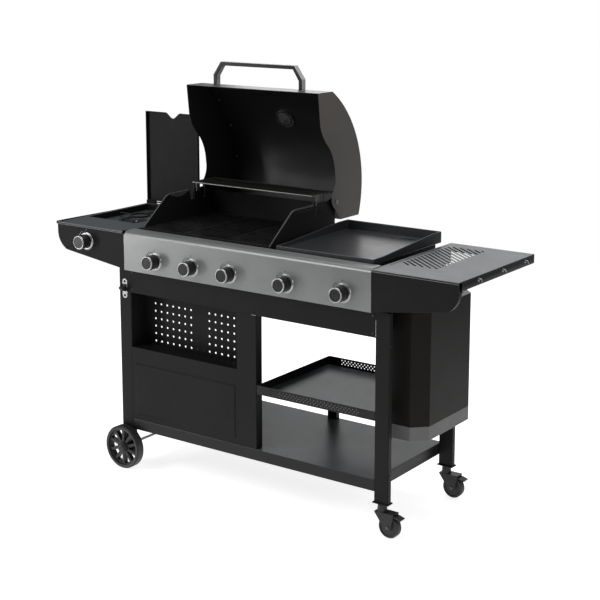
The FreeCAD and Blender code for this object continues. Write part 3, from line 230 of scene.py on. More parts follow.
BLACK = (0.0088, 0.0088, 0.0087)
SOOT = (0.0060, 0.0060, 0.0062)
# Warm grey painted light: the black coat as lit on the hood's outer faces; the inner faces keep the real
# black
PAINTED_LIGHT_WARM = (0.100, 0.093, 0.086)
INNER = (0.0105, 0.0105, 0.0108)
HOOD_AXIS = (0, (198 - 261.25) * MM, 1049 * MM)      # the line along X that the open hood curves round
MATERIALS = {
    "black_coat": coated("black_coat", BLACK, (0.0105, 0.0104, 0.0102), 0.48, specular=0.12),
    # grey_coat: the black coat with its upward faces painted blue-grey, a painted sheen of the light from
    # above
    "grey_coat": painted_light_coat("grey_coat", (0.052, 0.060, 0.063), BLACK, 0.34, specular=0.22, facing=(0, 0, 1)),
    "silver_coat": coated("silver_coat", (0.235, 0.24, 0.239), (0.25, 0.255, 0.254), 0.34,
                          1400.0, 0.00003, 0.5),
    # hood_enamel: outer faces painted warm grey as light falling on them, inner faces black
    "hood_enamel": painted_light_coat("hood_enamel", PAINTED_LIGHT_WARM, INNER, 0.30, away_from=HOOD_AXIS, specular=0.5),
    "firebox_enamel": coated("firebox_enamel", SOOT, (0.0085, 0.0085, 0.0085), 0.5, specular=0.2),
    "cast_iron": cast("cast_iron", (0.008, 0.008, 0.008), (0.014, 0.0138, 0.0135), 0.46),
    "steel_wire": coated("steel_wire", (0.16, 0.16, 0.155), (0.24, 0.24, 0.23), 0.38, 500.0, 0.00003, 0.8),
    "bright_steel": brushed("bright_steel", (0.30, 0.30, 0.295), (0.38, 0.38, 0.375), 0.30, (1, 30, 1)),
    "gauge_steel": brushed("gauge_steel", (0.42, 0.42, 0.42), (0.55, 0.55, 0.55), 0.25, (20, 1, 1)),
    "handle_coat": coated("handle_coat", (0.24, 0.242, 0.245), (0.28, 0.282, 0.285), 0.33, metallic=0.85),
    "brass": brushed("brass", (0.44, 0.27, 0.08), (0.55, 0.36, 0.12), 0.30, (1, 12, 1)),
    "knob_plastic": coated("knob_plastic", (0.012, 0.012, 0.012), (0.017, 0.017, 0.017), 0.33,
                           1600.0, 0.00002),
    "wheel_plastic": coated("wheel_plastic", (0.020, 0.020, 0.020), (0.028, 0.028, 0.028), 0.45, 700.0),
    "castor_steel": coated("castor_steel", (0.022, 0.022, 0.023), (0.034, 0.034, 0.035), 0.38, metallic=0.4),
    "castor_rubber": coated("castor_rubber", (0.018, 0.018, 0.018), (0.027, 0.027, 0.027), 0.55, 600.0),
    "brake_plastic": coated("brake_plastic", (0.014, 0.014, 0.014), (0.020, 0.020, 0.020), 0.40),
}
MARK_LIGHT = coated("mark_light", (0.40, 0.40, 0.40), (0.47, 0.47, 0.47), 0.5)
RING = brushed("ring", (0.36, 0.36, 0.36), (0.44, 0.44, 0.44), 0.30, (1, 30, 1))
SEAM = coated("seam", (0.002, 0.002, 0.002), (0.003, 0.003, 0.003), 0.7, specular=0.1)
RIVET = brushed("rivet", (0.42, 0.42, 0.41), (0.52, 0.52, 0.51), 0.30, (1, 1, 20))
# Grey of the bin's top flange: painted light from above
RIM_PAINTED_SHEEN = coated("band", (0.105, 0.106, 0.105), (0.118, 0.119, 0.118), 0.42)
# Light grey of the firebox's rolled edges: a painted highlight
PAINTED_HIGHLIGHT_BEAD = coated("bead", (0.055, 0.055, 0.055), (0.07, 0.07, 0.07), 0.34, specular=0.5)
CASTOR_BOLT = coated("castor_bolt", (0.06, 0.06, 0.062), (0.09, 0.09, 0.092), 0.32, metallic=0.8)
# Light grey lines on the shelf noses: painted highlights along the fold and the lower edge
PAINTED_EDGE_HIGHLIGHT = coated("painted_edge_highlight", (0.26, 0.265, 0.26), (0.32, 0.325, 0.32), 0.4, specular=0.5)
RACK = coated("rack", (0.045, 0.043, 0.040), (0.055, 0.053, 0.049), 0.42, metallic=0.5)
HOOK = brushed("hook", (0.30, 0.30, 0.29), (0.38, 0.38, 0.37), 0.34, (1, 1, 20))
GAUGE_PLATE = coated("gauge_plate", (0.125, 0.123, 0.118), (0.15, 0.147, 0.14), 0.34, metallic=0.5)
DIAL_FACE = coated("dial_face", (0.45, 0.45, 0.44), (0.50, 0.50, 0.49), 0.4)
GRIDDLE = coated("griddle_iron", (0.020, 0.021, 0.024), (0.023, 0.024, 0.027), 0.34,
                 500.0, 0.00004, specular=0.5)
SLOT_OF = {row["node"]: row["material_slot"] for row in frame["record"]["subparts"]}
BODY_OF = {name: body_of(piece)[0] for name, piece in NODES.items()}


def dress(piece, material):
    """Give every material slot of a piece this material, or give it its first one."""
    if not piece.material_slots:
        piece.data.materials.append(material)
    for place in piece.material_slots:
        place.material = material


for name, piece in NODES.items():
    dress(piece, MATERIALS[SLOT_OF[name]])


# ---------------------------------------------------------------- building pieces

def piece_from(name, bm, materials, body, smooth=35):
    """A bmesh as a named piece that rides on a body; edges below the smooth angle look round."""
    bmesh.ops.recalc_face_normals(bm, faces=bm.faces)
    limit = math.radians(smooth)
    for face in bm.faces:
        face.smooth = True
    for edge in bm.edges:
        edge.smooth = len(edge.link_faces) == 2 and edge.calc_face_angle(0) < limit
    data = bpy.data.meshes.new(name)
    bm.to_mesh(data)
    bm.free()
    made = bpy.data.objects.new(name, data)
    bpy.context.scene.collection.objects.link(made)
    for material in materials if isinstance(materials, (list, tuple)) else [materials]:
        data.materials.append(material)
    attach(made, body)
    return made


THIN = 3.2 * MM       # a face narrower than this is the cut edge of a sheet, not one of its sides


def breadth(face):
    """Mean width of a face across its longest edge."""
    return face.calc_area() / max(edge.calc_length() for edge in face.edges)


def softened(name, fold=2.0 * MM, edge_round=0.45 * MM, merge=True, materials=None):
    """The CAD shape again with its folds and cut edges rounded, so that they catch the light."""
    source = NODES[name]
    bm = bmesh.new()
    bm.from_mesh(source.data)
    bmesh.ops.remove_doubles(bm, verts=bm.verts, dist=0.002 * MM)
    if merge:
        bmesh.ops.dissolve_limit(bm, angle_limit=math.radians(0.4), verts=bm.verts, edges=bm.edges)
    weight = bm.edges.layers.float.new("bevel_weight_edge")
    wide = max(fold, edge_round)
    for edge in bm.edges:
        if len(edge.link_faces) != 2 or edge.calc_face_angle(0) < math.radians(40):
            continue
        size = edge_round
        if min(breadth(face) for face in edge.link_faces) > THIN:
            size = fold if edge.is_convex else fold * 0.45
        edge[weight] = size / wide
    slot = SLOT_OF[name]
    made = piece_from(name + "_finish", bm, materials or MATERIALS[slot], BODY_OF[name])
    bevel = made.modifiers.new("rounding", "BEVEL")
    bevel.limit_method = "WEIGHT"
    bevel.width = wide
    bevel.segments = 3
    bevel.use_clamp_overlap = False
    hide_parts(name)


def lathe(bm, centre, axis, profile, steps=48, material=0):
    """Turn (radius, along) points about an axis through centre; closed when it starts and ends at 0."""
    spin = axis.to_track_quat("Z", "Y").to_matrix()
    rings = []
    for radius, along in profile:
        if radius == 0:
            rings.append([bm.verts.new(centre + spin @ Vector((0, 0, along)))])
            continue
        ring = []
        for step in range(steps):
            turn = 2 * math.pi * step / steps
            spot = Vector((radius * math.cos(turn), radius * math.sin(turn), along))
            ring.append(bm.verts.new(centre + spin @ spot))
        rings.append(ring)
    for low, high in zip(rings, rings[1:]):
        for step in range(steps):
            after = (step + 1) % steps
            corners = []
            for corner in (low[step % len(low)], low[after % len(low)],
                           high[after % len(high)], high[step % len(high)]):
                if corner not in corners:
                    corners.append(corner)
            bm.faces.new(corners).material_index = material


def block(bm, low, high, bevel=0.0):
    """A box between two corners, its edges rounded off."""
    middle, extent = (low + high) / 2, high - low
    shape = Matrix.Translation(middle) @ Matrix.Diagonal((*extent, 1))
    verts = bmesh.ops.create_cube(bm, size=1, matrix=shape)["verts"]
    if bevel:
        edges = list({edge for vert in verts for edge in vert.link_edges})
        bmesh.ops.bevel(bm, geom=edges, offset=bevel, segments=2, profile=0.5, affect="EDGES")


def skin(bm, rings, closed=False):
    """Faces between rings of corners in order, with a lid on each end unless they close up."""
    loop = rings + rings[:1] if closed else rings
    for one, two in zip(loop, loop[1:]):
        for a in range(len(one)):
            b = (a + 1) % len(one)
            bm.faces.new((one[a], one[b], two[b], two[a]))
    if not closed:
        bm.faces.new(rings[0])
        bm.faces.new(rings[-1])


def plate(bm, outlines):
    """A flat plate between two facing outlines of points."""
    near, far = [[bm.verts.new(point) for point in outline] for outline in outlines]
    for a in range(len(near)):
        b = (a + 1) % len(near)
        bm.faces.new((near[a], near[b], far[b], far[a]))
    bm.faces.new(near[::-1])
    bm.faces.new(far)


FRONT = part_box("leg_front_left")[0].y      # front plane of the legs


def at(x, y, z):
    """A point given in millimetres, y measured back from the front plane of the legs."""
    return Vector((x * MM, FRONT + y * MM, z * MM))


# ---------------------------------------------------------------- knobs

def knob(name):
    """Moulded knob: ribbed skirt, bright ring let into the front, and a sunken black disc."""
    low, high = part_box(name)
    front, back = low.y, high.y
    radius = (high.x - low.x) / 2
    centre = Vector(((low.x + high.x) / 2, 0, (low.z + high.z) / 2))
    reach = -front
    bm = bmesh.new()
    stem = 4 * MM
    skirt = reach - 36 * MM
    body = [(0, -back), (stem, -back), (stem, skirt), (radius - 2 * MM, skirt), (radius, skirt + 1.5 * MM),
            (radius - 0.2 * MM, reach - 7 * MM), (radius - 0.3 * MM, reach - 4.6 * MM),
            (radius - 1.2 * MM, reach - 4 * MM)]
    ring_out, ring_in = radius - 0.4 * MM, radius - 4.4 * MM
    lathe(bm, centre, -Y, body, 72, 0)
    ring = [(ring_out, reach - 4 * MM), (ring_out - 0.1 * MM, reach - 1.2 * MM),
            (ring_out - 0.7 * MM, reach - 0.3 * MM),
            (ring_out - 1.6 * MM, reach), (ring_in + 0.9 * MM, reach), (ring_in + 0.2 * MM, reach - 0.3 * MM),
            (ring_in, reach - 1.4 * MM)]
    lathe(bm, centre, -Y, ring, 72, 1)
    disc = [(ring_in, reach - 1.4 * MM), (ring_in - 0.8 * MM, reach - 1.5 * MM),
            (ring_in * 0.6, reach - 1.25 * MM), (0, reach - 1.15 * MM)]
    lathe(bm, centre, -Y, disc, 72, 0)
    bmesh.ops.remove_doubles(bm, verts=bm.verts, dist=0.002 * MM)
    made = piece_from(name + "_finish", bm, [MATERIALS["knob_plastic"], RING], BODY_OF[name])
    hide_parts(name)


KNOBS = [name for name in NODES if name.startswith("knob_") and name[5:].isdigit()] + ["side_knob"]
for name in KNOBS:
    knob(name)


def knob_marks(name):
    """Printed marks on the panel: a dot over the knob and a swelling arc up on its left."""
    low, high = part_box(name)
    x, z = (low.x + high.x) / 2, (low.z + high.z) / 2
    side = name == "side_knob"
    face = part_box("left_fascia" if side else "control_panel")[0].y
    thick = 0.12 * MM
    bm = bmesh.new()
    lathe(bm, Vector((x, face, z + 41 * MM)), -Y, [(1.9 * MM, 0), (1.9 * MM, thick), (0, thick)], 20)
    for start, end, radius, wide in ((118, 158, 39 * MM, 1.3 * MM), (163, 170, 40 * MM, 2.2 * MM)):
        steps = 14
        rows = []
        for step in range(steps + 1):
            share = step / steps
            turn = math.radians(start + (end - start) * share)
            half = wide * (0.25 + 0.75 * share)
            out = Vector((math.cos(turn), 0, math.sin(turn)))
            rows.append([bm.verts.new(Vector((x, face - depth, z)) + out * (radius + side_of * half))
                         for side_of in (-1, 1) for depth in (0, thick)])
        for one, two in zip(rows, rows[1:]):
            for a, b in ((0, 1), (1, 3), (3, 2)):
                bm.faces.new((one[a], one[b], two[b], two[a]))
        for row in (rows[0], rows[-1]):
            bm.faces.new((row[0], row[1], row[3], row[2]))
    piece_from(name + "_marks", bm, MARK_LIGHT if side else MATERIALS["black_coat"], "cart")


for name in KNOBS:
    knob_marks(name)


# ---------------------------------------------------------------- folded sheet and cast pieces

# Side plates: outward faces painted warm grey as painted light, inward faces black
HOOD_LEFT = painted_light_coat("hood_left_enamel", PAINTED_LIGHT_WARM, INNER, 0.34, facing=(-1, 0, 0), specular=0.4)
HOOD_RIGHT = painted_light_coat("hood_right_enamel", PAINTED_LIGHT_WARM, INNER, 0.34, facing=(1, 0, 0), specular=0.4)
BIN_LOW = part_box("side_bin")[0].z
BIN_COAT = parted("bin_coat", (0.0095, 0.0088, 0.0081), (0.112, 0.113, 0.112), 0.42,
                  (0, 0, 1), BIN_LOW + 48 * MM, specular=0.08)
OPENER = parted("opener", (0.42, 0.42, 0.42), (0.008, 0.008, 0.008), 0.34, (0, 1, 0),
                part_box("bottle_opener")[1].y - 2.3 * MM, metallic=0.6, specular=0.5)

for name in ("control_panel", "left_fascia", "right_fascia",
             "leg_front_left", "leg_rear_left", "leg_front_right", "leg_rear_right",
             "cabinet_front", "front_apron", "firebox_side_left",
             "firebox_side_right", "griddle_box", "side_lid", "grease_tray"):
    softened(name)
for name in ("bottom_shelf", "middle_tray"):
    softened(name, merge=False)
softened("left_shelf", fold=5 * MM)
softened("griddle_plate", fold=2.5 * MM, edge_round=1.2 * MM, materials=GRIDDLE)
# Hood handle: faces turned forward and down are painted near black as shade, the other faces light grey metal
softened("hood_handle", edge_round=1.2 * MM,
         materials=painted_light_coat("handle_painted_shade", (0.008, 0.008, 0.008), (0.46, 0.46, 0.455), 0.34,
                          facing=(0, -0.8, -0.6), metallic=0.15))
softened("side_bin", materials=BIN_COAT)
softened("bottle_opener", materials=OPENER)
softened("hood_side_left", materials=HOOD_LEFT)
softened("hood_side_right", materials=HOOD_RIGHT)


# ---------------------------------------------------------------- hood: thermometer, rivets, hinge bolts

HOOD_CENTRE = Vector((-215.5 * MM, HOOD_AXIS[1], HOOD_AXIS[2]))
SHELL_INNER = 395 * MM


def on_arc(x, angle, distance):
    """A point at a height angle on a circle about the open hood's arc, and the outward direction."""
    out = Vector((0, math.cos(math.radians(angle)), math.sin(math.radians(angle))))
    return Vector((x, HOOD_CENTRE.y, HOOD_CENTRE.z)) + out * distance, out


def ridge(bm, centre, along, up, length, wide, high, material=0):
    """A low bar lying on a surface, its long side along a direction."""
    side = along.cross(up).normalized()
    turn = Matrix((along, side, up)).transposed().to_4x4()
    made = bmesh.ops.create_cube(bm, size=1, matrix=Matrix.Translation(centre + up * high / 2) @ turn
                                 @ Matrix.Diagonal((length, wide, high, 1)))
    for face in {face for vert in made["verts"] for face in vert.link_faces}:
        face.material_index = material


def thermometer():
    """Pressed cover inside the hood with a cross of ridges, and the dial outside with its needle."""
    spot, out = on_arc(HOOD_CENTRE.x, 33, 388.8 * MM)
    across, up = X, X.cross(out)
    bm = bmesh.new()
    cover = [(4 * MM, 0.2 * MM), (4 * MM, 1.6 * MM), (20 * MM, 1.4 * MM), (29 * MM, 0.9 * MM), (30.5 * MM, 0)]
    lathe(bm, spot, -out, cover, 64)
    for angle in (38, 118):
        along = (across * math.cos(math.radians(angle)) + up * math.sin(math.radians(angle))).normalized()
        for end in (-1, 1):
            middle = spot - out * 1.0 * MM + along * end * 15.5 * MM
            ridge(bm, middle, along, -out, 21 * MM, 1.5 * MM, 1.1 * MM)
    lathe(bm, spot, -out, [(28.6 * MM, 0), (29 * MM, 1.5 * MM), (31.8 * MM, 1.5 * MM), (32 * MM, 0)], 64, 1)
    piece_from("gauge_cover", bm, [GAUGE_PLATE, SEAM], "hood")
    face, out = on_arc(HOOD_CENTRE.x, 33, 408.0 * MM)
    bm = bmesh.new()
    lathe(bm, face, out, [(29 * MM, 0), (29 * MM, 0.25 * MM), (0, 0.25 * MM)], 64)
    for mark in range(21):
        turn = math.radians(225 - 270 * mark / 20)
        along = across * math.cos(turn) + up * math.sin(turn)
        length = 5 * MM if mark % 5 == 0 else 2.5 * MM
        middle = face + along * (26.5 * MM - length / 2) + out * 0.2 * MM
        ridge(bm, middle, along, out, length, 0.9 * MM, 0.2 * MM, 1)
    needle = across * math.cos(math.radians(215)) + up * math.sin(math.radians(215))
    ridge(bm, face + needle * 8 * MM + out * 0.5 * MM, needle, out, 28 * MM, 1.2 * MM, 0.4 * MM, 1)
    lathe(bm, face, out, [(3 * MM, 0.2 * MM), (3 * MM, 1.6 * MM), (2.2 * MM, 2.2 * MM), (0, 2.3 * MM)], 24, 1)
    piece_from("gauge_dial", bm, [DIAL_FACE, MATERIALS["knob_plastic"]], "hood")


thermometer()


def hood_seams():
    """Joint between the hood's shell and its side plates, a dark groove with three rivets each side."""
    groove = ((0.1 * MM, 0.05 * MM), (3.2 * MM, 0.05 * MM), (3.0 * MM, 1.0 * MM), (0.1 * MM, 1.4 * MM))
    head = [(3.4 * MM, -0.2 * MM), (3.2 * MM, 0.8 * MM), (2.2 * MM, 1.7 * MM), (0, 2.1 * MM)]
    for name, x, inward in (("left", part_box("hood_side_left")[1].x, 1),
                            ("right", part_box("hood_side_right")[0].x, -1)):
        bm = bmesh.new()
        rows = []
        for step in range(37):
            angle = -4 + 61 * step / 36
            rows.append([bm.verts.new(on_arc(x + inward * shift, angle, SHELL_INNER - depth)[0])
                         for shift, depth in groove])
        skin(bm, rows)
        piece_from(f"hood_seam_{name}", bm, SEAM, "hood")
        bm = bmesh.new()
        for angle in (6, 25, 43):
            spot, out = on_arc(x + inward * 14 * MM, angle, SHELL_INNER)
            lathe(bm, spot, -out, head, 20)
        piece_from(f"hood_rivets_{name}", bm, RIVET, "hood")


hood_seams()


def bolt(bm, centre, out, radius, high):
    """Pan head with a washer under it and a hexagon socket in it."""
    head = [(radius * 1.5, 0), (radius * 1.5, 0.8 * MM), (radius, 0.9 * MM), (radius, high * 0.6),
            (radius * 0.8, high), (radius * 0.45, high)]
    lathe(bm, centre, out, head, 28)
    lathe(bm, centre, out, [(radius * 0.45, high), (radius * 0.42, high * 0.4), (0, high * 0.4)], 6)


def hinge_bolts():
    """A bolt head on the outer end of each hinge pin."""
    for name, x, out in (("left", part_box("hood_side_left")[0].x, -X),
                         ("right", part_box("hood_side_right")[1].x, X)):
        low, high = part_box("hood_pins")
        middle = (low + high) / 2
        reach = (high.x - x) if out == X else (x - low.x)
        bm = bmesh.new()
        bolt(bm, Vector((x + max(reach, 0) * out.x, middle.y, middle.z)), out, 5 * MM, 2.5 * MM)
        piece_from(f"hinge_bolt_{name}", bm, RIVET, "cart")


hinge_bolts()


# ---------------------------------------------------------------- bin rim, igniter, castor bolts, beads

def bin_rim():
    """Flange turned in round the top of the side bin; its grey is painted light from above."""
    low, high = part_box("side_bin")
    wall, wide, corner = 1.2 * MM, 24 * MM, 45 * MM

    def outline(inset):
        x0, x1, y0, y1 = low.x + inset, high.x - inset, low.y + inset, high.y - inset
        cut = corner - inset * 0.586
        return [(x0, y0), (x1 - cut, y0), (x1, y0 + cut), (x1, y1 - cut), (x1 - cut, y1), (x0, y1)]

    bm = bmesh.new()
    section = ((wall, 2.2 * MM), (wall, 0.8 * MM), (wall + 1 * MM, 0.3 * MM), (wide - 1 * MM, 0.3 * MM),
               (wide, 1.2 * MM), (wide, 9 * MM), (wide - 1.2 * MM, 9 * MM), (wide - 1.2 * MM, 2.2 * MM))
    skin(bm, [[bm.verts.new((x, y, high.z - drop)) for x, y in outline(inset)] for inset, drop in section],
         closed=True)
    piece_from("bin_rim", bm, RIM_PAINTED_SHEEN, "cart", 30)


bin_rim()


def igniter():
    """Spark electrode beside the side burner: ceramic sleeve in a bright clip."""
    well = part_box("burner_well")
    spot = Vector((-668 * MM, FRONT + 197 * MM, well[0].z + 24 * MM + 1.2 * MM))
    bm = bmesh.new()
    sleeve = [(6 * MM, 0), (6 * MM, 1.5 * MM), (3.6 * MM, 2 * MM), (3.6 * MM, 9 * MM), (2.6 * MM, 10 * MM),
              (1.2 * MM, 10.5 * MM), (1.2 * MM, 16 * MM), (0, 16.4 * MM)]
    lathe(bm, spot, Z, sleeve, 24)
    along = Vector((0.83, -0.55, 0)).normalized()
    ridge(bm, spot + Vector((9 * MM, -6 * MM, 0)), along, Z, 20 * MM, 9 * MM, 1.6 * MM)
    piece_from("igniter", bm, RIVET, "cart", 30)


igniter()


def castor_bolts(end):
    """Hexagon nuts on both ends of a castor's wheel pin."""
    low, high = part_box(f"castor_{end}_fork")
    wheel_low, wheel_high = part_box(f"castor_{end}_wheel")
    hub = (wheel_low + wheel_high) / 2
    bm = bmesh.new()
    for side, out in ((low.y, -Y), (high.y, Y)):
        nut = [(4.4 * MM, -1.9 * MM), (7.5 * MM, -1.9 * MM), (7.5 * MM, -0.2 * MM), (6.6 * MM, 0.6 * MM),
               (0, 0.7 * MM)]
        lathe(bm, Vector((hub.x, side, hub.z)), out, nut, 6)
    piece_from(f"castor_{end}_bolts", bm, CASTOR_BOLT, f"castor_{end}", 25)


for end in ("front", "rear"):
    castor_bolts(end)


def tube_along(bm, points, radius, sides=10):
    """A round bead following points in order, closed at both ends."""
    rings = []
    for index, point in enumerate(points):
        before, after = points[max(index - 1, 0)], points[min(index + 1, len(points) - 1)]
        aim = (after - before).to_track_quat("Z", "Y").to_matrix()
        rings.append([bm.verts.new(point + aim @ Vector((math.cos(turn), math.sin(turn), 0)) * radius)
                      for turn in (2 * math.pi * side / sides for side in range(sides))])
    skin(bm, rings)


def firebox_beads():
    """Rolled edge along the sloping front and the crest of each firebox side; its light grey is a painted
    highlight.
    """
    for name in ("left", "right"):
        low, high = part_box(f"firebox_side_{name}")
        x = (low.x + high.x) / 2 / MM
        route = [(46, 891), (52, 896), (172, 989), (181, 993.5), (193, 997), (302, 997)]
        points = []
        for (y0, z0), (y1, z1) in zip(route, route[1:]):
            points += [at(x, y0 + (y1 - y0) * share / 6, z0 + (z1 - z0) * share / 6) for share in range(6)]
        points.append(at(x, *route[-1]))
        bm = bmesh.new()
        tube_along(bm, points, 2.4 * MM)
        piece_from(f"firebox_bead_{name}", bm, PAINTED_HIGHLIGHT_BEAD, "cart", 60)


firebox_beads()


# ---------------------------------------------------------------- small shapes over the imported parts

def crest_plates():
    """Raised rear part of each firebox side, behind the notch that holds the warming rack."""
    for name in ("left", "right"):
        low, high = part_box(f"firebox_side_{name}")
        x0, x1 = low.x / MM, high.x / MM
        bm = bmesh.new()
        outline = [(326, 955), (326, 990), (329, 997), (335, 1000), (396, 1001), (415, 1006), (415, 955)]
        plate(bm, [[at(x, y, z) for y, z in outline] for x in (x0 + 0.02, x1 - 0.02)])
        piece_from(f"firebox_crest_{name}", bm, MATERIALS["firebox_enamel"], "cart")


crest_plates()


def rack_frame():
    """Bright rim round the warming rack, its close mesh, and the tab that hangs at each end."""
    low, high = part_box("warming_rack")
    x0, x1 = low.x / MM + 12, high.x / MM - 12
    y0, y1 = (low.y - FRONT) / MM + 2.5, (high.y - FRONT) / MM - 2.5
    level = high.z / MM - 2
    bm = bmesh.new()
    corners = [(x0, y1), (x0, y0), (x1, y0), (x1, y1), (x0, y1)]
    route = [at(x, y, level - 1.2) for x, y in corners]
    for one, two in zip(route, route[1:]):
        tube_along(bm, [one, two], 2.7 * MM)
    for x in (x0 - 1, x1 + 1):
        block(bm, at(x - 0.7, y0 + 22, level - 38), at(x + 0.7, y0 + 42, level - 1))
    piece_from("rack_rim", bm, MATERIALS["steel_wire"], "cart", 50)
    bm = bmesh.new()
    rows = 16
    for row in range(1, rows):
        y = y0 + (y1 - y0) * row / rows
        tube_along(bm, [at(x0, y, level - 1.2), at(x1, y, level - 1.2)], 1.1 * MM, 6)
    piece_from("rack_mesh", bm, MATERIALS["cast_iron"], "cart", 50)


rack_frame()
dress(NODES["warming_rack"], RACK)


def utensil_hooks():
    """Three short stubs with rounded, downturned ends."""
    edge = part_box("right_shelf")[1]
    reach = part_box("utensil_hooks")[1].x - edge.x
    bm = bmesh.new()
    for y in (92, 252, 409):
        start = Vector((edge.x - 0.5 * MM, FRONT + y * MM, edge.z - 12 * MM))
        turn = reach - 4.5 * MM
        path = [start, start + X * (turn * 0.5), start + X * turn * 0.8 - Z * 0.4 * MM,
                start + X * turn - Z * 1.8 * MM, start + X * (turn + 1 * MM) - Z * 4.5 * MM,
                start + X * (turn + 1 * MM) - Z * 9 * MM]
        tube_along(bm, path, 3.4 * MM, 16)
        washer = [(6.5 * MM, 0), (6.5 * MM, 0.8 * MM), (5.8 * MM, 1.3 * MM), (3 * MM, 1.3 * MM)]
        lathe(bm, start + X * 0.4 * MM, X, washer, 28)
    made = piece_from("hook_stubs", bm, HOOK, "cart", 50)
    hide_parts("utensil_hooks")


utensil_hooks()


def opener_loop():
    """The opener's raised lip, a black loop that leans out from its plate."""
    low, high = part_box("bottle_opener")
    middle, face = (low.x + high.x) / 2, high.y - 2 * MM
    reach, half = face - low.y, 12 * MM
    base = (low.z + high.z) / 2 - 3 * MM
    steps = 18
    rows = []
    bm = bmesh.new()
    for step in range(steps + 1):
        turn = math.pi * step / steps
        side, out = math.cos(turn), math.sin(turn)
        rise = 9 * MM * out
        ring = []
        for inset, height in ((0, -6.5 * MM), (0, 6 * MM), (0.8 * MM, 6.8 * MM), (3.4 * MM, 6.8 * MM),
                              (4.2 * MM, 6 * MM), (4.2 * MM, -6.5 * MM)):
            ring.append(bm.verts.new((middle + side * (half - inset), face - out * (reach - 0.2 * MM - inset),
                                      base + rise + height)))
        rows.append(ring)
    skin(bm, rows)
    piece_from("opener_loop", bm, MATERIALS["cast_iron"], "cart", 40)


opener_loop()


def lid_notch():
    """Rounds the corners of the finger notch in the side burner's lid."""
    low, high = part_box("side_lid")
    middle, sheet, half, deep = (low.x + high.x) / 2, 1.5 * MM, 39.5 * MM, 22 * MM
    steps = 16
    bm = bmesh.new()
    for side in (-1, 1):
        curve = []
        for step in range(steps + 1):
            share = step / steps
            drop = deep * math.sin(math.pi / 2 * share) ** 2
            curve.append((middle + side * half * (1 - share), high.z - drop))
        bottom = [(middle + side * reach, high.z - deep) for reach in (6 * MM, half - 12 * MM)]
        outline = curve[:-1] + bottom
        plate(bm, [[(x, y, z) for x, z in outline] for y in (high.y - sheet, high.y)])
    piece_from("lid_notch", bm, MATERIALS["black_coat"], "side_lid", 40)


lid_notch()


def slot_loops():
    """Outline of each slanting cooling slot: eight points, rounded at both ends, all of them in
    one rectangle of the shelf."""
    (left, right), (near, far) = (548, 690), (90, 420)
    step_x, step_y, half = 27, 22, 3.6
    shortest, inset, bulge = 22, 5, 2.5
    run = Vector((step_x, -step_y)).normalized()
    side = Vector((run.y, -run.x))
    loops = []
    for index in range(-30, 30):
        start = Vector((left, near + step_y * (index + 0.5)))
        first = max(0, (start.y - far) / -run.y if start.y > far else 0)
        last = min((right - left) / run.x, (near - start.y) / run.y)
        if last - first < shortest:
            continue
        ends = [start + run * (first + inset), start + run * (last - inset)]
        loop = []
        for end, way in ((ends[0], 1), (ends[1], -1)):
            loop += [end + side * half * way, end + side * half * 0.4 * way - run * bulge * way,
                     end - side * half * 0.4 * way - run * bulge * way, end - side * half * way]
        loops.append(loop)
    return loops


def right_shelf():
    """Folded shelf with slanting cooling slots, a long gap beside the griddle and a deep inner flange."""
    low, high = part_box("right_shelf")
    x0, x1 = low.x / MM, high.x / MM
    y0, y1, top = (low.y - FRONT) / MM, (high.y - FRONT) / MM, high.z / MM
    sheet, nose, edge = 1.2, 7, 30
    bm = bmesh.new()
    gap, outline = [[Vector((xa, ya)), Vector((xb, ya)), Vector((xb, yb)), Vector((xa, yb))]
                    for xa, xb, ya, yb in ((x0 + 11.5, x0 + 14.5, 60, 430), (x0 + 1, x1 - 1, y0 + 1, y1 - 1))]
    edges = []
    for loop in [outline, gap] + slot_loops():
        verts = [bm.verts.new(at(spot.x, spot.y, top)) for spot in loop]
        edges += [bm.edges.new((verts[a], verts[(a + 1) % len(verts)])) for a in range(len(verts))]
    filled = bmesh.ops.triangle_fill(bm, use_beauty=True, use_dissolve=False, edges=edges)["geom"]
    faces = [part for part in filled if isinstance(part, bmesh.types.BMFace)]
    grown = bmesh.ops.extrude_face_region(bm, geom=faces, use_keep_orig=True)["geom"]
    verts = [part for part in grown if isinstance(part, bmesh.types.BMVert)]
    bmesh.ops.translate(bm, verts=verts, vec=(0, 0, -sheet * MM))
    for (xa, ya), (xb, yb), deep in (((x0, y0), (x0 + sheet, y1), top - low.z / MM),
                                     ((x1 - sheet, y0), (x1, y1), edge),
                                     ((x0, y1 - sheet), (x1, y1), edge),
                                     ((x0, y0), (x1, y0 + sheet), nose)):
        block(bm, at(xa, ya, top - deep), at(xb, yb, top), 0.5 * MM)
    made = piece_from("right_shelf_pan", bm, MATERIALS["grey_coat"], "cart", 30)
    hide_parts("right_shelf")


right_shelf()


def nose_lines():
    """Thin light lines along the folded front of both side shelves, painted highlights of the fold and the
    nose's lower edge.
    """
    bm = bmesh.new()
    for name in ("left_shelf", "right_shelf"):
        low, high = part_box(name)
        for drop in (0.9 * MM, 6.4 * MM):
            tube_along(bm, [Vector((low.x + 1 * MM, low.y + 0.6 * MM, high.z - drop)),
                            Vector((high.x - 1 * MM, low.y + 0.6 * MM, high.z - drop))], 0.8 * MM, 8)
    piece_from("nose_lines", bm, PAINTED_EDGE_HIGHLIGHT, "cart", 60)


nose_lines()


# ---------------------------------------------------------------- floor, light and camera

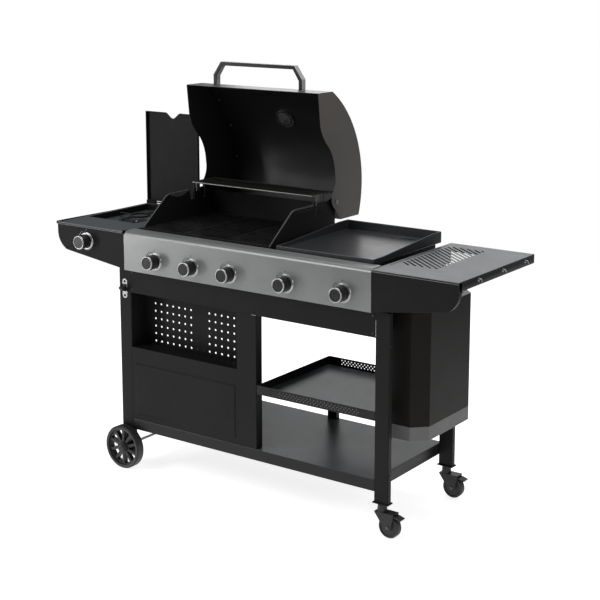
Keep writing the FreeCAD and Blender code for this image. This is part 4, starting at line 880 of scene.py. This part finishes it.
def floor():
    """A pale floor that fades out towards its rim."""
    bm = bmesh.new()
    bmesh.ops.create_circle(bm, cap_ends=True, segments=96, radius=7)
    data = bpy.data.meshes.new("floor")
    bm.to_mesh(data)
    bm.free()
    made = bpy.data.objects.new("floor", data)
    bpy.context.scene.collection.objects.link(made)
    pale, tree, bsdf = shader("floor", (0.86, 0.86, 0.86), 0.8, specular=0.1)
    bsdf.inputs["Emission Color"].default_value = (1, 1, 1, 1)
    bsdf.inputs["Emission Strength"].default_value = 0.78
    clouds = tint(tree, noise(tree, 3.0), (0.85, 0.85, 0.85), (0.87, 0.87, 0.87))
    wire(tree, clouds, "Color", bsdf, "Base Color")
    place = tree.nodes.new("ShaderNodeTexCoord")
    length = tree.nodes.new("ShaderNodeVectorMath")
    length.operation = "LENGTH"
    wire(tree, place, "Object", length, 0)
    fade = tree.nodes.new("ShaderNodeMapRange")
    fade.interpolation_type = "SMOOTHERSTEP"
    fade.inputs["From Min"].default_value = 1.2
    fade.inputs["From Max"].default_value = 4.5
    fade.inputs["To Min"].default_value = 1
    fade.inputs["To Max"].default_value = 0
    tree.links.new(length.outputs["Value"], fade.inputs["Value"])
    wire(tree, fade, "Result", bsdf, "Alpha")
    data.materials.append(pale)


floor()


def lamp(name, spot, aim, power, wide, high, colour=(1, 1, 1)):
    """A rectangular area light at a spot, turned to a point."""
    data = bpy.data.lights.new(name, "AREA")
    data.shape = "RECTANGLE"
    data.size, data.size_y = wide, high
    data.energy = power
    data.color = colour
    made = bpy.data.objects.new(name, data)
    made.location = spot
    made.rotation_mode = "QUATERNION"
    made.rotation_quaternion = (Vector(aim) - Vector(spot)).to_track_quat("-Z", "Y")
    bpy.context.scene.collection.objects.link(made)
    return made


MIDDLE = (0, 0, 0.8)
lamp("key", (-2.2, -3.2, 3.2), MIDDLE, 75, 2.4, 2.0)
lamp("top", (0.2, 0.5, 4.2), MIDDLE, 90, 3.5, 3.0)
lamp("right", (4.0, -1.0, 1.8), MIDDLE, 34, 1.6, 2.2, (1, 0.96, 0.92))
lamp("back", (-1.5, 3.8, 2.4), MIDDLE, 30, 3.0, 2.0)
gleam = lamp("gleam", (-3.3, -2.8, 0.8), (-0.2, 0.3, 1.1), 34, 0.8, 1.8)
gleam.visible_diffuse = False

world = bpy.data.worlds.new("studio")
world.use_nodes = True
tree = world.node_tree
ground = tree.nodes["Background"]
ground.inputs["Color"].default_value = (0.9, 0.93, 0.97, 1)
ground.inputs["Strength"].default_value = 0.16
white = tree.nodes.new("ShaderNodeBackground")
white.inputs["Color"].default_value = (1, 1, 1, 1)
white.inputs["Strength"].default_value = 1.0
ray = tree.nodes.new("ShaderNodeLightPath")
mix = tree.nodes.new("ShaderNodeMixShader")
tree.links.new(ray.outputs["Is Camera Ray"], mix.inputs["Fac"])
tree.links.new(ground.outputs["Background"], mix.inputs[1])
tree.links.new(white.outputs["Background"], mix.inputs[2])
tree.links.new(mix.outputs["Shader"], tree.nodes["World Output"].inputs["Surface"])
bpy.context.scene.world = world
bpy.context.scene.view_settings.view_transform = "Standard"

lens = bpy.data.cameras.new("camera")
lens.sensor_width = 36
lens.lens = 82.83
lens.shift_y = -0.15
camera = bpy.data.objects.new("camera", lens)
camera.location = (2.7928, -3.8513, 1.85)
camera.rotation_euler = (math.radians(90 - 10.36), 0, math.radians(35.54))
bpy.context.scene.collection.objects.link(camera)
bpy.context.scene.camera = camera
